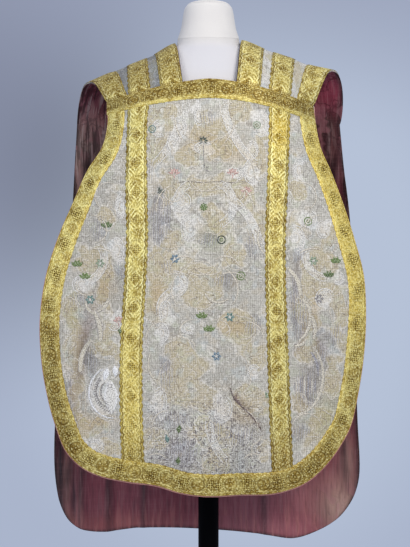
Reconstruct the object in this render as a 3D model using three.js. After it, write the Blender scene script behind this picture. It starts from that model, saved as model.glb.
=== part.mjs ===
// A roman chasuble on a limbless dress form with a pole and a round base.
// Millimetres, +Z up. The front faces -Y, and "left" and "right" are the viewer's.
// The origin is the middle of the base plate's underside.

import * as THREE from 'three';

// ---------------------------------------------------------------- driving dimensions

const galloonWidth = 43;              // width of the gold braid
const seamGap = 0.3;                  // between pieces that are sewn edge to edge
const layer = {                       // heights of each layer's two faces over the cloth's base surface
  lining: [-1.3, -0.3],
  panel: [0, 2],
  galloon: [2.3, 3.5],
};

// The front, from the chest seam to where the hem starts to turn: the outline's reach on each side.
const frontSides = [
  { z: 1288, left: 213, right: 222 },
  { z: 1240, left: 211, right: 226 },
  { z: 1190, left: 222, right: 236 },
  { z: 1140, left: 254, right: 258 },
  { z: 1070, left: 284, right: 284 },
  { z: 1000, left: 313, right: 306 },
  { z: 920, left: 338, right: 327 },
  { z: 830, left: 350, right: 331 },
  { z: 740, left: 346, right: 325 },
  { z: 660, left: 331, right: 311 },
  { z: 605, left: 314, right: 296 },
];

// The front's hem between those two ends, with a square left corner and a round right one.
const frontHem = [
  { x: -296, z: 561 },
  { x: -265, z: 529 },
  { x: -224, z: 510 },
  { x: -168, z: 499 },
  { x: -108, z: 491 },
  { x: -56, z: 477 },
  { x: 0, z: 471 },
  { x: 68, z: 474 },
  { x: 138, z: 476 },
  { x: 196, z: 493 },
  { x: 240, z: 526 },
  { x: 273, z: 566 },
];
const frontCorner = { left: -281, right: 252 };       // where the side rows end on the hem's corners

// How deep the front hangs: at its middle, and at a reach to each side, where it curls back.
const frontDepth = [
  { z: 1330, middle: -112, left: -55, right: -55, reach: 214 },
  { z: 1289, middle: -123, left: -56, right: -54, reach: 216 },
  { z: 1240, middle: -134, left: -56, right: -51, reach: 220 },
  { z: 1140, middle: -143, left: -68, right: -52, reach: 256 },
  { z: 1000, middle: -147, left: -86, right: -52, reach: 312 },
  { z: 830, middle: -149, left: -95, right: -46, reach: 345 },
  { z: 660, middle: -150, left: -100, right: -52, reach: 336 },
  { z: 467, middle: -150, left: -104, right: -70, reach: 336 },
];
const frontCurl = 2.4;                // power of the curl across the front

// The two upright braids of the front: their edges as they hang.
const frontColumns = [
  { z: 1290, leftOuter: -165, leftInner: -122, rightInner: 126, rightOuter: 169 },
  { z: 1240, leftOuter: -167, leftInner: -128, rightInner: 126, rightOuter: 167 },
  { z: 1100, leftOuter: -169, leftInner: -128, rightInner: 121, rightOuter: 161 },
  { z: 1000, leftOuter: -167, leftInner: -126, rightInner: 117, rightOuter: 156 },
  { z: 890, leftOuter: -172, leftInner: -131, rightInner: 118, rightOuter: 157 },
  { z: 780, leftOuter: -179, leftInner: -137, rightInner: 121, rightOuter: 161 },
  { z: 650, leftOuter: -180, leftInner: -137, rightInner: 125, rightOuter: 166 },
  { z: 530, leftOuter: -176, leftInner: -133, rightInner: 130, rightOuter: 171 },
];

// The chest braid: its top and bottom edges drop towards the sides.
const chest = {
  top: 1328, bottom: 1287,
  left: { end: 213, topDrop: 40, topPower: 1.3, bottomDrop: 27, bottomPower: 1.4 },
  right: { end: 220, topDrop: 47, topPower: 1.5, bottomDrop: 41, bottomPower: 1.7 },
};

// The lanes that run over each shoulder, from the outer edge to the neck:
// their distance from the middle at the chest seam, on the shoulder line and on the shoulder blade.
const lanes = {
  left: [
    { name: 'outer', seam: 213, crest: 256, crestZ: 1336, blade: 290 },
    { name: 'band', seam: 170, crest: 204, crestZ: 1358, blade: 251 },
    { name: 'columnOuter', seam: 165, crest: 173, crestZ: 1371, blade: 183 },
    { name: 'columnInner', seam: 122, crest: 135, crestZ: 1386, blade: 141 },
    { name: 'strip', seam: 99, crest: 116, crestZ: 1395, blade: 113 },
    { name: 'neck', seam: 54, crest: 74, crestZ: 1418, blade: 72 },
  ],
  right: [
    { name: 'outer', seam: 220, crest: 269, crestZ: 1362, blade: 290 },
    { name: 'band', seam: 184, crest: 217, crestZ: 1373, blade: 251 },
    { name: 'columnOuter', seam: 169, crest: 185, crestZ: 1385, blade: 183 },
    { name: 'columnInner', seam: 126, crest: 142, crestZ: 1399, blade: 141 },
    { name: 'strip', seam: 106, crest: 120, crestZ: 1407, blade: 113 },
    { name: 'neck', seam: 58, crest: 73, crestZ: 1425, blade: 72 },
  ],
};
const napeZ = 1424;                   // the shoulder line carried across the neck opening
const shoulderCurve = 1.44;           // power of the cosine that carries the cloth over the shoulder
const shoulderSpread = { front: 1.15, back: 0.7 };    // how fast the lanes spread in front and behind
const shoulderFlare = { left: 0, right: 9 };          // the right strap springs out behind its tip
const yokeAngle = 42;                 // back neckline, in degrees past the shoulder line
const yokeBraidAngle = 63;            // lower edge of the braid below it

// The back, from the shoulder blades down, as the front's tables.
const blade = { middle: 1330, drop: 75, reach: 290, power: 1.5 };
const backSides = [
  { z: 1255, left: 290, right: 290 },
  { z: 1170, left: 295, right: 298 },
  { z: 1050, left: 302, right: 312 },
  { z: 900, left: 316, right: 321 },
  { z: 750, left: 328, right: 326 },
  { z: 600, left: 339, right: 331 },
  { z: 500, left: 341, right: 336 },
];
const backHem = [
  { x: -334, z: 431 },
  { x: -322, z: 393 },
  { x: -306, z: 368 },
  { x: -279, z: 350 },
  { x: -229, z: 343 },
  { x: -152, z: 350 },
  { x: -25, z: 346 },
  { x: 111, z: 336 },
  { x: 183, z: 326 },
  { x: 217, z: 332 },
  { x: 261, z: 354 },
  { x: 296, z: 383 },
  { x: 321, z: 421 },
  { x: 333, z: 459 },
];
const backCorner = { left: -302, right: 278 };
const backDepth = [
  { z: 1330, middle: 105, left: 58, right: 58, reach: 290 },
  { z: 1255, middle: 122, left: 70, right: 70, reach: 290 },
  { z: 1100, middle: 137, left: 72, right: 72, reach: 303 },
  { z: 900, middle: 142, left: 75, right: 75, reach: 320 },
  { z: 600, middle: 145, left: 75, right: 78, reach: 338 },
  { z: 326, middle: 147, left: 84, right: 90, reach: 338 },
];
const backCurl = 2.6;
const backColumn = { inner: 141, outer: 183 };

// The largest folds. Each starts at (x, z), leans sideways as it drops, and stands out or sinks in.
const frontFolds = [
  { x: -226, z: 880, lean: -0.22, length: 190, width: 30, out: -7 },
  { x: -285, z: 820, lean: -0.1, length: 200, width: 34, out: 5 },
  { x: 166, z: 1090, lean: 0.1, length: 320, width: 34, out: 6 },
  { x: 250, z: 900, lean: 0.05, length: 260, width: 40, out: -5 },
  { x: -108, z: 580, lean: 0, length: 110, width: 46, out: -7 },
  { x: 60, z: 640, lean: 0.3, length: 170, width: 36, out: 5 },
];
const backFolds = [
  { x: -206, z: 620, lean: 0, length: 280, width: 34, out: 7 },
  { x: -110, z: 900, lean: -0.02, length: 560, width: 46, out: -6 },
  { x: 96, z: 1000, lean: 0.03, length: 640, width: 48, out: -6 },
  { x: 212, z: 660, lean: 0.04, length: 320, width: 36, out: 7 },
  { x: -300, z: 900, lean: -0.05, length: 420, width: 30, out: 5 },
  { x: 300, z: 900, lean: 0.04, length: 420, width: 30, out: 5 },
];

// The dress form: elliptical sections, each with its half width and its depth in front and behind.
const torsoSections = [
  { z: 740, half: 164, front: 100, back: 106 },
  { z: 746, half: 169, front: 105, back: 111 },
  { z: 800, half: 168, front: 104, back: 110 },
  { z: 870, half: 156, front: 100, back: 102 },
  { z: 940, half: 141, front: 92, back: 90 },
  { z: 1020, half: 132, front: 84, back: 80 },
  { z: 1100, half: 144, front: 94, back: 87 },
  { z: 1180, half: 161, front: 110, back: 98 },
  { z: 1240, half: 171, front: 116, back: 103 },
  { z: 1290, half: 181, front: 108, back: 98 },
  { z: 1325, half: 186, front: 98, back: 89 },
];
// Its shoulders lie just under the left strap, the lower of the two.
const formClearance = 1.9;
const shoulderSections = [
  { lane: 'columnOuter', half: 182, drop: 8, front: 78, back: 74 },
  { lane: 'columnOuter', half: 172, drop: 0.5, front: 68, back: 68 },
  { lane: 'columnInner', half: 135, drop: 0, front: 63, back: 62 },
  { lane: 'strip', half: 116, drop: 0, front: 62, back: 61 },
  { lane: 'neck', half: 71, drop: 0, front: 60, back: 59 },
];
// The neck is a piece of its own. Its seam, and the rings near it, slope down to the front.
const neckRing = { z: 1430, half: 63, front: 59, back: 58, slope: 0.1 };
const neckSections = [
  { z: 1438, half: 58, front: 56, back: 56, slope: 0.07 },
  { z: 1447, half: 55, front: 54, back: 54, slope: 0.04 },
  { z: 1462, half: 53, front: 52, back: 52 },
  { z: 1480, half: 51, front: 50, back: 50 },
  { z: 1494, half: 48.5, front: 48, back: 48 },
];
const neckTop = { z: 1501, radius: 47.5, dome: 8 };

// The stand.
const pole = { radius: 22, bore: 22.3 };
const flange = { radius: 65, thickness: 8, tubeRadius: 31, tubeLength: 90, roof: 4 };
const hub = { radius: 46, topRadius: 29, height: 42, shoulder: 14 };
const base = { radius: 190, thickness: 10, chamfer: 3 };
const roundSides = 48;

// ---------------------------------------------------------------- reading tables and outlines

const lerp = THREE.MathUtils.lerp;
const last = (list) => list[list.length - 1];

// One column of a table at any key between its rows, by a cubic.
// Each row takes its slope from its neighbours.
function read(table, key, column, at) {
  const n = table.length;
  const slope = (i) => {
    const a = table[Math.max(i - 1, 0)];
    const b = table[Math.min(i + 1, n - 1)];
    return (b[column] - a[column]) / (b[key] - a[key]);
  };
  const rising = last(table)[key] > table[0][key];
  let i = 0;
  while (i < n - 2 && (rising ? at > table[i + 1][key] : at < table[i + 1][key])) i += 1;
  const span = table[i + 1][key] - table[i][key];
  const t = THREE.MathUtils.clamp((at - table[i][key]) / span, 0, 1);
  const u = 1 - t;
  return table[i][column] * u * u * (1 + 2 * t) + table[i + 1][column] * t * t * (1 + 2 * u)
    + span * t * u * (slope(i) * u - slope(i + 1) * t);
}

// A smooth path through stations, measured along its chords.
function path(stations) {
  let s = 0;
  const rows = stations.map((station, i) => {
    if (i > 0) s += Math.hypot(station.x - stations[i - 1].x, station.z - stations[i - 1].z);
    return { s, x: station.x, z: station.z };
  });
  const at = (distance) => ({ x: read(rows, 's', 'x', distance), z: read(rows, 's', 'z', distance) });
  return { length: s, at };
}

// The distance between two others where a falling or rising test passes zero, by halving.
function crossing(test, from, to) {
  const sign = Math.sign(test(from));
  let [a, b] = [from, to];
  for (let i = 0; i < 40; i += 1) {
    const middle = (a + b) / 2;
    if (Math.sign(test(middle)) === sign) a = middle;
    else b = middle;
  }
  return (a + b) / 2;
}

// ---------------------------------------------------------------- the cloth's surfaces

function foldsAt(folds, x, z) {
  return folds.reduce((sum, fold) => {
    const along = (fold.z - z) / fold.length;
    if (along <= 0 || along >= 1.4) return sum;
    const across = (x - fold.x - fold.lean * (fold.z - z)) / fold.width;
    return sum + fold.out * Math.exp(-across * across) * Math.sin(Math.PI * along / 1.4) ** 2;
  }, 0);
}

// Depth of a hanging panel: its middle, a curl towards both sides, and its folds.
function depthAt(table, curl, folds, outwards, x, z) {
  const middle = read(table, 'z', 'middle', z);
  const side = read(table, 'z', x < 0 ? 'left' : 'right', z);
  const reach = read(table, 'z', 'reach', z);
  return middle + (side - middle) * (Math.abs(x) / reach) ** curl + outwards * foldsAt(folds, x, z);
}
const frontY = (x, z) => depthAt(frontDepth, frontCurl, frontFolds, -1, x, z);
const backY = (x, z) => depthAt(backDepth, backCurl, backFolds, 1, x, z);

function chestTop(x) {
  const side = x < 0 ? chest.left : chest.right;
  return chest.top - side.topDrop * (Math.abs(x) / side.end) ** side.topPower;
}
function chestBottom(x) {
  const side = x < 0 ? chest.left : chest.right;
  return chest.bottom - side.bottomDrop * (Math.abs(x) / side.end) ** side.bottomPower;
}
const bladeLine = (x) => blade.middle - blade.drop * (Math.abs(x) / blade.reach) ** blade.power;

// The inner edge of the braid on an outline: the outline moved in by the braid's width,
// measured on the cloth, so it looks narrower where the cloth curls back.
function insideOf(outline, surface) {
  return (s) => {
    const here = outline.at(s);
    const ahead = outline.at(Math.min(s + 2, outline.length));
    const behind = outline.at(Math.max(s - 2, 0));
    const run = Math.hypot(ahead.x - behind.x, ahead.z - behind.z);
    const inwards = { x: -(ahead.z - behind.z) / run, z: (ahead.x - behind.x) / run };
    const deep = (distance) => surface(here.x + inwards.x * distance, here.z + inwards.z * distance);
    const rise = (deep(galloonWidth / 2 + 1) - deep(galloonWidth / 2 - 1)) / 2;
    const width = galloonWidth / Math.hypot(1, rise);
    return { x: here.x + inwards.x * width, z: here.z + inwards.z * width };
  };
}

// ---------------------------------------------------------------- the garment as points and cells

// All the cloth shares one set of points, so that its layers and neighbours fit each other.
const points = [];
const cells = [];

function point(x, y, z) {
  points.push(new THREE.Vector3(x, y, z));
  return points.length - 1;
}

// A cell is four points, counterclockwise from outside, with its panel and the braid that lies on it.
function cell(corners, panel, braid) {
  cells.push({ corners, panel, braid });
}

const sideCells = 3;                  // cells between the edge braid and the upright braid
const laneNames = ['outer', 'band', 'side1', 'side2', 'columnOuter', 'columnInner', 'strip', 'neck'];
const rowCrowding = 1.3;              // the rows of a hanging panel crowd towards its hem's corners
const columnCount = 2 * laneNames.length;             // the middle column is shared by both sides
const middleColumn = laneNames.length;

// The x of every column of a row between the two inner edges of the edge braid.
function spread(row) {
  const side = (name, sign) => {
    const [edge, outer, inner] = [row[name], row[`${name}Outer`], row[`${name}Inner`]];
    return [
      edge,
      lerp(edge, outer, 1 / sideCells),
      lerp(edge, outer, 2 / sideCells),
      outer,
      inner,
      sign * row[`${name}Strip`],
      sign * row[`${name}Neck`],
    ];
  };
  return [...side('left', -1), 0, ...side('right', 1).reverse()];
}

// A row of a hanging panel. Its ends lie on the outline's inside; between them it keeps a share
// of the bow of the first row and of the last, and each column is read at its own height.
function hangingRow(ends, share, firstBow, lastBow, columnsAt) {
  const heightAt = (x) => {
    const f = THREE.MathUtils.clamp((x - ends.left.x) / (ends.right.x - ends.left.x), 0, 1);
    const chord = lerp(ends.left.z, ends.right.z, f);
    return chord + (1 - share) ** 1.6 * firstBow(f) + share ** 1.6 * lastBow(f);
  };
  const guess = columnsAt(heightAt(0), ends);
  return guess.map((x, i) => {
    const settled = columnsAt(heightAt(x), ends)[i];
    return { x: settled, z: heightAt(settled) };
  });
}

// How far a line stands over the chord between two of its points, as a function of the way across.
function bowOf(line, from, to) {
  return (f) => line(lerp(from.x, to.x, f)) - lerp(from.z, to.z, f);
}

// Builds the hanging part of a panel: rows from its first line to its hem, the edge braid's
// strip round them, and the cells of it all. Returns nothing; the first row's points are given.
function hang(panel, firstRow, options) {
  const { outline, inside, firstLine, corner, rows, columnsAt, surface, order, braidOf } = options;
  const place = ({ x, z }) => point(x, surface(x, z), z);
  const half = outline.length / 2;
  const overFirst = (s) => outline.at(s).z - firstLine(outline.at(s).x);
  const start = {
    left: crossing(overFirst, 0, half / 2),
    right: crossing(overFirst, outline.length, outline.length - half / 2),
  };
  const stop = {
    left: crossing((s) => outline.at(s).x - corner.left, half * 0.7, half),
    right: crossing((s) => outline.at(s).x - corner.right, outline.length - half * 0.7, half),
  };
  const lastEnds = { left: inside(stop.left), right: inside(stop.right) };
  const insideNear = (x) => inside(crossing((s) => inside(s).x - x, stop.left, stop.right));
  const firstEnds = { left: firstRow.shape[1], right: firstRow.shape[columnCount - 1] };
  const firstBow = bowOf(firstLine, firstEnds.left, firstEnds.right);
  const lastBow = bowOf((x) => insideNear(x).z, lastEnds.left, lastEnds.right);

  const grid = [firstRow.indices];
  for (let j = 1; j <= rows; j += 1) {
    const share = 1 - (1 - j / rows) ** rowCrowding;
    const s = { left: lerp(start.left, stop.left, share), right: lerp(start.right, stop.right, share) };
    const ends = { left: inside(s.left), right: inside(s.right) };
    const shape = hangingRow(ends, share, firstBow, lastBow, columnsAt);
    const inner = shape.map(place);
    grid.push([place(outline.at(s.left)), ...inner, place(outline.at(s.right))]);
    if (j === rows) {
      const hemPoints = shape.slice(1, -1).map(({ x }) => {
        const at = crossing((d) => inside(d).x - x, stop.left, stop.right);
        return place(outline.at(at));
      });
      const bottom = grid[j];
      grid.push([null, bottom[0], ...hemPoints, last(bottom), null]);
    }
  }
  for (let j = 0; j < grid.length - 1; j += 1) {
    for (let i = 0; i < columnCount; i += 1) {
      const hem = j === grid.length - 2;
      if (hem && (i === 0 || i === columnCount - 1)) continue;
      const braid = braidOf(i, j, hem);
      const corners = [grid[j + 1][i], grid[j + 1][i + 1], grid[j][i + 1], grid[j][i]];
      cell(order > 0 ? corners : corners.reverse(), panel, braid);
    }
  }
}

const isEdge = (i) => i === 0 || i === columnCount - 1;
const columnSide = (i) => {
  if (i === laneNames.indexOf('columnOuter')) return 'left';
  if (i === columnCount - 1 - laneNames.indexOf('columnOuter')) return 'right';
  return null;
};

// ---- front

const sideStations = (table, sign, side) => table.map((row) => ({ x: sign * row[side], z: row.z }));
const frontOutline = path([
  ...sideStations(frontSides, -1, 'left'),
  ...frontHem,
  ...sideStations(frontSides, 1, 'right').reverse(),
]);
const frontInside = insideOf(frontOutline, frontY);

const lane = (side, name) => lanes[side].find((row) => row.name === name);

// The columns of the front at a height. The lanes under the neck even out below the chest.
function frontColumnsAt(z, ends) {
  const even = THREE.MathUtils.smoothstep(chest.bottom - z, 0, 160);
  const row = { left: ends.left.x, right: ends.right.x };
  for (const name of ['leftOuter', 'leftInner', 'rightInner', 'rightOuter']) {
    row[name] = read(frontColumns, 'z', name, z);
  }
  for (const side of ['left', 'right']) {
    const inner = Math.abs(row[`${side}Inner`]);
    const seam = lane(side, 'columnInner').seam;
    row[`${side}Strip`] = inner * lerp(lane(side, 'strip').seam / seam, 2 / 3, even);
    row[`${side}Neck`] = inner * lerp(lane(side, 'neck').seam / seam, 1 / 3, even);
  }
  return spread(row);
}

function lineRow(line, surface, xs) {
  const shape = xs.map((x) => ({ x, z: line(x) }));
  return { shape, indices: shape.map(({ x, z }) => point(x, surface(x, z), z)) };
}

const seamXs = (() => {
  const side = (name, sign) => {
    const at = (laneName) => sign * lane(name, laneName).seam;
    return [
      at('outer'),
      at('band'),
      lerp(at('band'), at('columnOuter'), 1 / sideCells),
      lerp(at('band'), at('columnOuter'), 2 / sideCells),
      at('columnOuter'),
      at('columnInner'),
      at('strip'),
      at('neck'),
    ];
  };
  return [...side('left', -1), 0, ...side('right', 1).reverse()];
})();
const chestSeam = lineRow(chestTop, frontY, seamXs);

const chestLow = (() => {
  const overBraid = (s) => frontInside(s).z - chestBottom(frontInside(s).x);
  const end = frontOutline.length;
  const left = frontInside(crossing(overBraid, 0, 200));
  const right = frontInside(crossing(overBraid, end, end - 200));
  const inner = frontColumnsAt(chest.bottom, { left, right });
  return lineRow(chestBottom, frontY, [-chest.left.end, ...inner, chest.right.end + 5]);
})();

for (let i = 0; i < columnCount; i += 1) {
  const [low, high] = [chestLow.indices, chestSeam.indices];
  cell([low[i], low[i + 1], high[i + 1], high[i]], 'front', 'chest');
}

const frontRows = 13;
hang('front', chestLow, {
  outline: frontOutline,
  inside: frontInside,
  firstLine: chestBottom,
  corner: frontCorner,
  rows: frontRows,
  columnsAt: frontColumnsAt,
  surface: frontY,
  order: 1,
  braidOf: (i, j, hem) => {
    if (hem || isEdge(i)) return 'front_edge';
    return columnSide(i) ? `front_column_${columnSide(i)}` : null;
  },
});

// ---- straps and back

// A lane on its way over the shoulder. At angle 0 it is on the shoulder line,
// and at 90 on the chest seam in front or on the blade line behind.
function overShoulder(side, row, behind, angle) {
  const sign = side === 'left' ? -1 : 1;
  const turn = THREE.MathUtils.degToRad(angle);
  const footX = behind ? row.blade : row.seam;
  const footZ = behind ? bladeLine(footX) : chestTop(sign * footX);
  const footY = behind ? backY(sign * footX, footZ) : frontY(sign * footX, footZ);
  const backGone = 1 - Math.sin(turn) ** shoulderSpread.back;
  const gone = behind ? backGone : (1 - angle / 90) ** shoulderSpread.front;
  const outwards = (row.crest / lane(side, 'outer').crest) ** 4;
  const flare = behind ? shoulderFlare[side] * Math.sin(2 * turn) * outwards : 0;
  return {
    x: sign * (lerp(footX, row.crest, gone) + flare),
    y: footY * Math.sin(turn),
    z: lerp(footZ, row.crestZ, Math.cos(turn) ** shoulderCurve),
  };
}

// Every lane of one side at an angle, and the two lines between the edge braid and the upright one.
function shoulderRow(side, behind, angle) {
  const at = (name) => overShoulder(side, lane(side, name), behind, angle);
  const between = (f) => {
    const [a, b] = [lane(side, 'band'), lane(side, 'columnOuter')];
    const row = {};
    for (const key of ['seam', 'crest', 'crestZ', 'blade']) row[key] = lerp(a[key], b[key], f);
    return overShoulder(side, row, behind, angle);
  };
  return [
    at('outer'), at('band'), between(1 / sideCells), between(2 / sideCells),
    at('columnOuter'), at('columnInner'), at('strip'), at('neck'),
  ];
}

const put = ({ x, y, z }) => point(x, y, z);
const frontAngles = [75, 60, 45, 30, 15, 0];
const strapAngles = [14, 28];
const yokeAngles = [yokeAngle, yokeBraidAngle, 90];
const middleLane = { seam: 0, crest: 0, crestZ: napeZ, blade: 0 };
const middleAt = (angle) => overShoulder('right', middleLane, true, angle);

// The full rows, from the yoke to the blade line, are shared by both straps.
const yokeRows = yokeAngles.map((angle) => {
  const left = shoulderRow('left', true, angle);
  const right = shoulderRow('right', true, angle).reverse();
  const shape = [...left, middleAt(angle), ...right];
  return { shape, indices: shape.map(put) };
});

for (const side of ['left', 'right']) {
  const pick = (row) => (
    side === 'left' ? row.slice(0, middleColumn) : row.slice(middleColumn + 1).reverse()
  );
  const rows = [
    pick(chestSeam.indices),
    ...frontAngles.map((angle) => shoulderRow(side, false, angle).map(put)),
    ...strapAngles.map((angle) => shoulderRow(side, true, angle).map(put)),
    pick(yokeRows[0].indices),
  ];
  for (let k = 0; k < rows.length - 1; k += 1) {
    for (let i = 0; i < middleColumn - 1; i += 1) {
      let braid = null;
      if (i === 0) braid = 'back_edge';
      if (laneNames[i] === 'columnOuter') braid = `back_column_${side}`;
      if (laneNames[i] === 'strip') braid = 'neck';
      const corners = [rows[k][i], rows[k][i + 1], rows[k + 1][i + 1], rows[k + 1][i]];
      cell(side === 'left' ? corners : corners.reverse(), 'back', braid);
    }
  }
}

function backBraid(i, underNeck) {
  if (isEdge(i)) return 'back_edge';
  if (columnSide(i)) return `back_column_${columnSide(i)}`;
  const stripLane = laneNames.indexOf('strip');
  return underNeck && i >= stripLane && i < columnCount - stripLane ? 'neck' : null;
}
for (let k = 0; k < yokeRows.length - 1; k += 1) {
  for (let i = 0; i < columnCount; i += 1) {
    const [high, low] = [yokeRows[k].indices, yokeRows[k + 1].indices];
    cell([high[i], high[i + 1], low[i + 1], low[i]], 'back', backBraid(i, k === 0));
  }
}

const backOutline = path([
  ...sideStations(backSides, -1, 'left'),
  ...backHem,
  ...sideStations(backSides, 1, 'right').reverse(),
]);

function backColumnsAt(z, ends) {
  const even = THREE.MathUtils.smoothstep(blade.middle - z, 0, 250);
  const row = {
    left: ends.left.x, right: ends.right.x,
    leftOuter: -backColumn.outer, leftInner: -backColumn.inner,
    rightInner: backColumn.inner, rightOuter: backColumn.outer,
  };
  for (const side of ['left', 'right']) {
    row[`${side}Strip`] = lerp(lane(side, 'strip').blade, backColumn.inner * 2 / 3, even);
    row[`${side}Neck`] = lerp(lane(side, 'neck').blade, backColumn.inner / 3, even);
  }
  return spread(row);
}

const backRows = 14;
hang('back', last(yokeRows), {
  outline: backOutline,
  inside: insideOf(backOutline, backY),
  firstLine: bladeLine,
  corner: backCorner,
  rows: backRows,
  columnsAt: backColumnsAt,
  surface: backY,
  order: -1,
  braidOf: (i, j, hem) => (hem ? 'back_edge' : backBraid(i, false)),
});

// ---------------------------------------------------------------- walls of cloth

// The outward direction at every point, from the cells round it.
const normals = points.map(() => new THREE.Vector3());
for (const { corners } of cells) {
  const [a, b, c, d] = corners.map((i) => points[i]);
  const facing = new THREE.Vector3().crossVectors(c.clone().sub(a), d.clone().sub(b)).normalize();
  for (const i of corners) normals[i].add(facing);
}
for (const normal of normals) normal.normalize();

// A closed wall over some cells, between two heights over the base surface.
// Its rim is drawn in by half a seam gap, so that neighbours stay apart.
function wall(chosen, [inner, outer]) {
  const edges = new Map();
  for (const { corners } of chosen) {
    corners.forEach((a, i) => {
      const b = corners[(i + 1) % 4];
      if (edges.has(`${b},${a}`)) edges.delete(`${b},${a}`);
      else edges.set(`${a},${b}`, [a, b]);
    });
  }
  const rim = new Map();
  for (const [a, b] of edges.values()) {
    const along = points[b].clone().sub(points[a]).normalize();
    for (const i of [a, b]) {
      const inwards = new THREE.Vector3().crossVectors(normals[i], along).normalize();
      rim.set(i, [...(rim.get(i) ?? []), inwards]);
    }
  }
  const used = [...new Set(chosen.flatMap(({ corners }) => corners))];
  const order = new Map(used.map((i, k) => [i, k]));
  const seats = used.map((i) => {
    const seat = points[i].clone();
    if (rim.has(i)) {
      const [first, second] = rim.get(i);
      seat.addScaledVector(first.clone().add(second), seamGap / 2 / (1 + first.dot(second)));
    }
    return seat;
  });
  const vertices = [inner, outer].flatMap((height) => used.flatMap((i, k) => (
    seats[k].clone().addScaledVector(normals[i], height).toArray()
  )));
  const low = (i) => order.get(i);
  const high = (i) => order.get(i) + used.length;
  const triangles = [];
  for (const { corners: [a, b, c, d] } of chosen) {
    triangles.push(high(a), high(b), high(c), high(a), high(c), high(d));
    triangles.push(low(c), low(b), low(a), low(d), low(c), low(a));
  }
  for (const [a, b] of edges.values()) {
    triangles.push(low(a), low(b), high(b), low(a), high(b), high(a));
  }
  return geometryOf(vertices, triangles);
}

function geometryOf(vertices, triangles) {
  const geometry = new THREE.BufferGeometry();
  geometry.setAttribute('position', new THREE.Float32BufferAttribute(vertices, 3));
  geometry.setIndex(triangles);
  geometry.computeVertexNormals();
  return geometry;
}

// ---------------------------------------------------------------- dress form and stand

// A closed loft through elliptical sections, from the lowest up, with flat ends or a peak.
function loft(sections, peak) {
  const vertices = [];
  const triangles = [];
  for (const section of sections) {
    for (let k = 0; k < roundSides; k += 1) {
      const turn = 2 * Math.PI * k / roundSides;
      const depth = Math.sin(turn) < 0 ? section.front : section.back;
      const y = depth * Math.sin(turn);
      vertices.push(section.half * Math.cos(turn), y, section.z + (section.slope ?? 0) * y);
    }
  }
  const rings = sections.length;
  const at = (ring, k) => ring * roundSides + k % roundSides;
  for (let ring = 0; ring < rings - 1; ring += 1) {
    for (let k = 0; k < roundSides; k += 1) {
      triangles.push(at(ring, k), at(ring, k + 1), at(ring + 1, k + 1));
      triangles.push(at(ring, k), at(ring + 1, k + 1), at(ring + 1, k));
    }
  }
  const bottom = rings * roundSides;
  const top = bottom + 1;
  vertices.push(0, 0, sections[0].z, 0, 0, last(sections).z + peak);
  for (let k = 0; k < roundSides; k += 1) {
    triangles.push(bottom, at(0, k + 1), at(0, k));
    triangles.push(top, at(rings - 1, k), at(rings - 1, k + 1));
  }
  return geometryOf(vertices, triangles);
}

function turned(profile) {
  const outline = profile.map(([radius, z]) => new THREE.Vector2(radius, z));
  const geometry = new THREE.LatheGeometry(outline, roundSides);
  geometry.rotateX(Math.PI / 2);
  return geometry;
}

const shoulder = shoulderSections.map(({ lane: name, half, drop, front, back }) => {
  const under = lane('left', name).crestZ + layer.lining[0] - formClearance;
  return { z: under - drop, half, front, back };
});
const torso = loft([...torsoSections, ...shoulder, neckRing], 0);
const neckBottom = { ...neckRing, z: neckRing.z + seamGap };
const neckRim = { z: neckTop.z, half: neckTop.radius, front: neckTop.radius, back: neckTop.radius };
const neck = loft([neckBottom, ...neckSections, neckRim], 0);
const capRings = [0, 0.35, 0.65, 0.88].map((share) => {
  const radius = neckTop.radius * Math.sqrt(1 - share * share);
  const z = neckTop.z + seamGap + neckTop.dome * share;
  return { z, half: radius, front: radius, back: radius };
});
const neckCap = loft(capRings, neckTop.dome * (1 - 0.88));

const torsoFoot = torsoSections[0].z;
const flangeTop = torsoFoot - seamGap;
const boreRoof = flangeTop - flange.roof;
const flangeShape = turned([
  [0, flangeTop],
  [flange.radius, flangeTop],
  [flange.radius, flangeTop - flange.thickness],
  [flange.tubeRadius, flangeTop - flange.thickness],
  [flange.tubeRadius, flangeTop - flange.tubeLength],
  [pole.bore, flangeTop - flange.tubeLength],
  [pole.bore, boreRoof],
  [0, boreRoof],
].reverse());
const poleFoot = base.thickness + seamGap;
const poleTop = boreRoof - seamGap;
const poleShape = turned([
  [0, poleFoot],
  [pole.radius, poleFoot],
  [pole.radius, poleTop],
  [0, poleTop],
]);
const hubFoot = base.thickness + seamGap;
const hubShape = turned([
  [pole.bore, hubFoot],
  [hub.radius, hubFoot],
  [hub.radius, hubFoot + hub.shoulder],
  [hub.topRadius, hubFoot + hub.height],
  [pole.bore, hubFoot + hub.height],
  [pole.bore, hubFoot],
]);
const baseShape = turned([
  [0, 0],
  [base.radius, 0],
  [base.radius, base.thickness - base.chamfer],
  [base.radius - base.chamfer, base.thickness],
  [0, base.thickness],
]);

// ---------------------------------------------------------------- finishes and assembly

function finish(color, roughness, metalness) {
  return new THREE.MeshStandardMaterial({ color, roughness, metalness });
}
const lampas = finish(0xc3bba9, 0.75, 0.05);
const liningSilk = finish(0x6b3a44, 0.55, 0);
const goldBraid = finish(0xbfa24a, 0.45, 0.5);
const jersey = finish(0xe4e2e2, 0.85, 0);
const blackPaint = finish(0x08080a, 0.4, 0.2);

const chasuble = new THREE.Group();
function add(name, geometry, material) {
  const mesh = new THREE.Mesh(geometry, material);
  mesh.name = name;
  chasuble.add(mesh);
}

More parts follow.
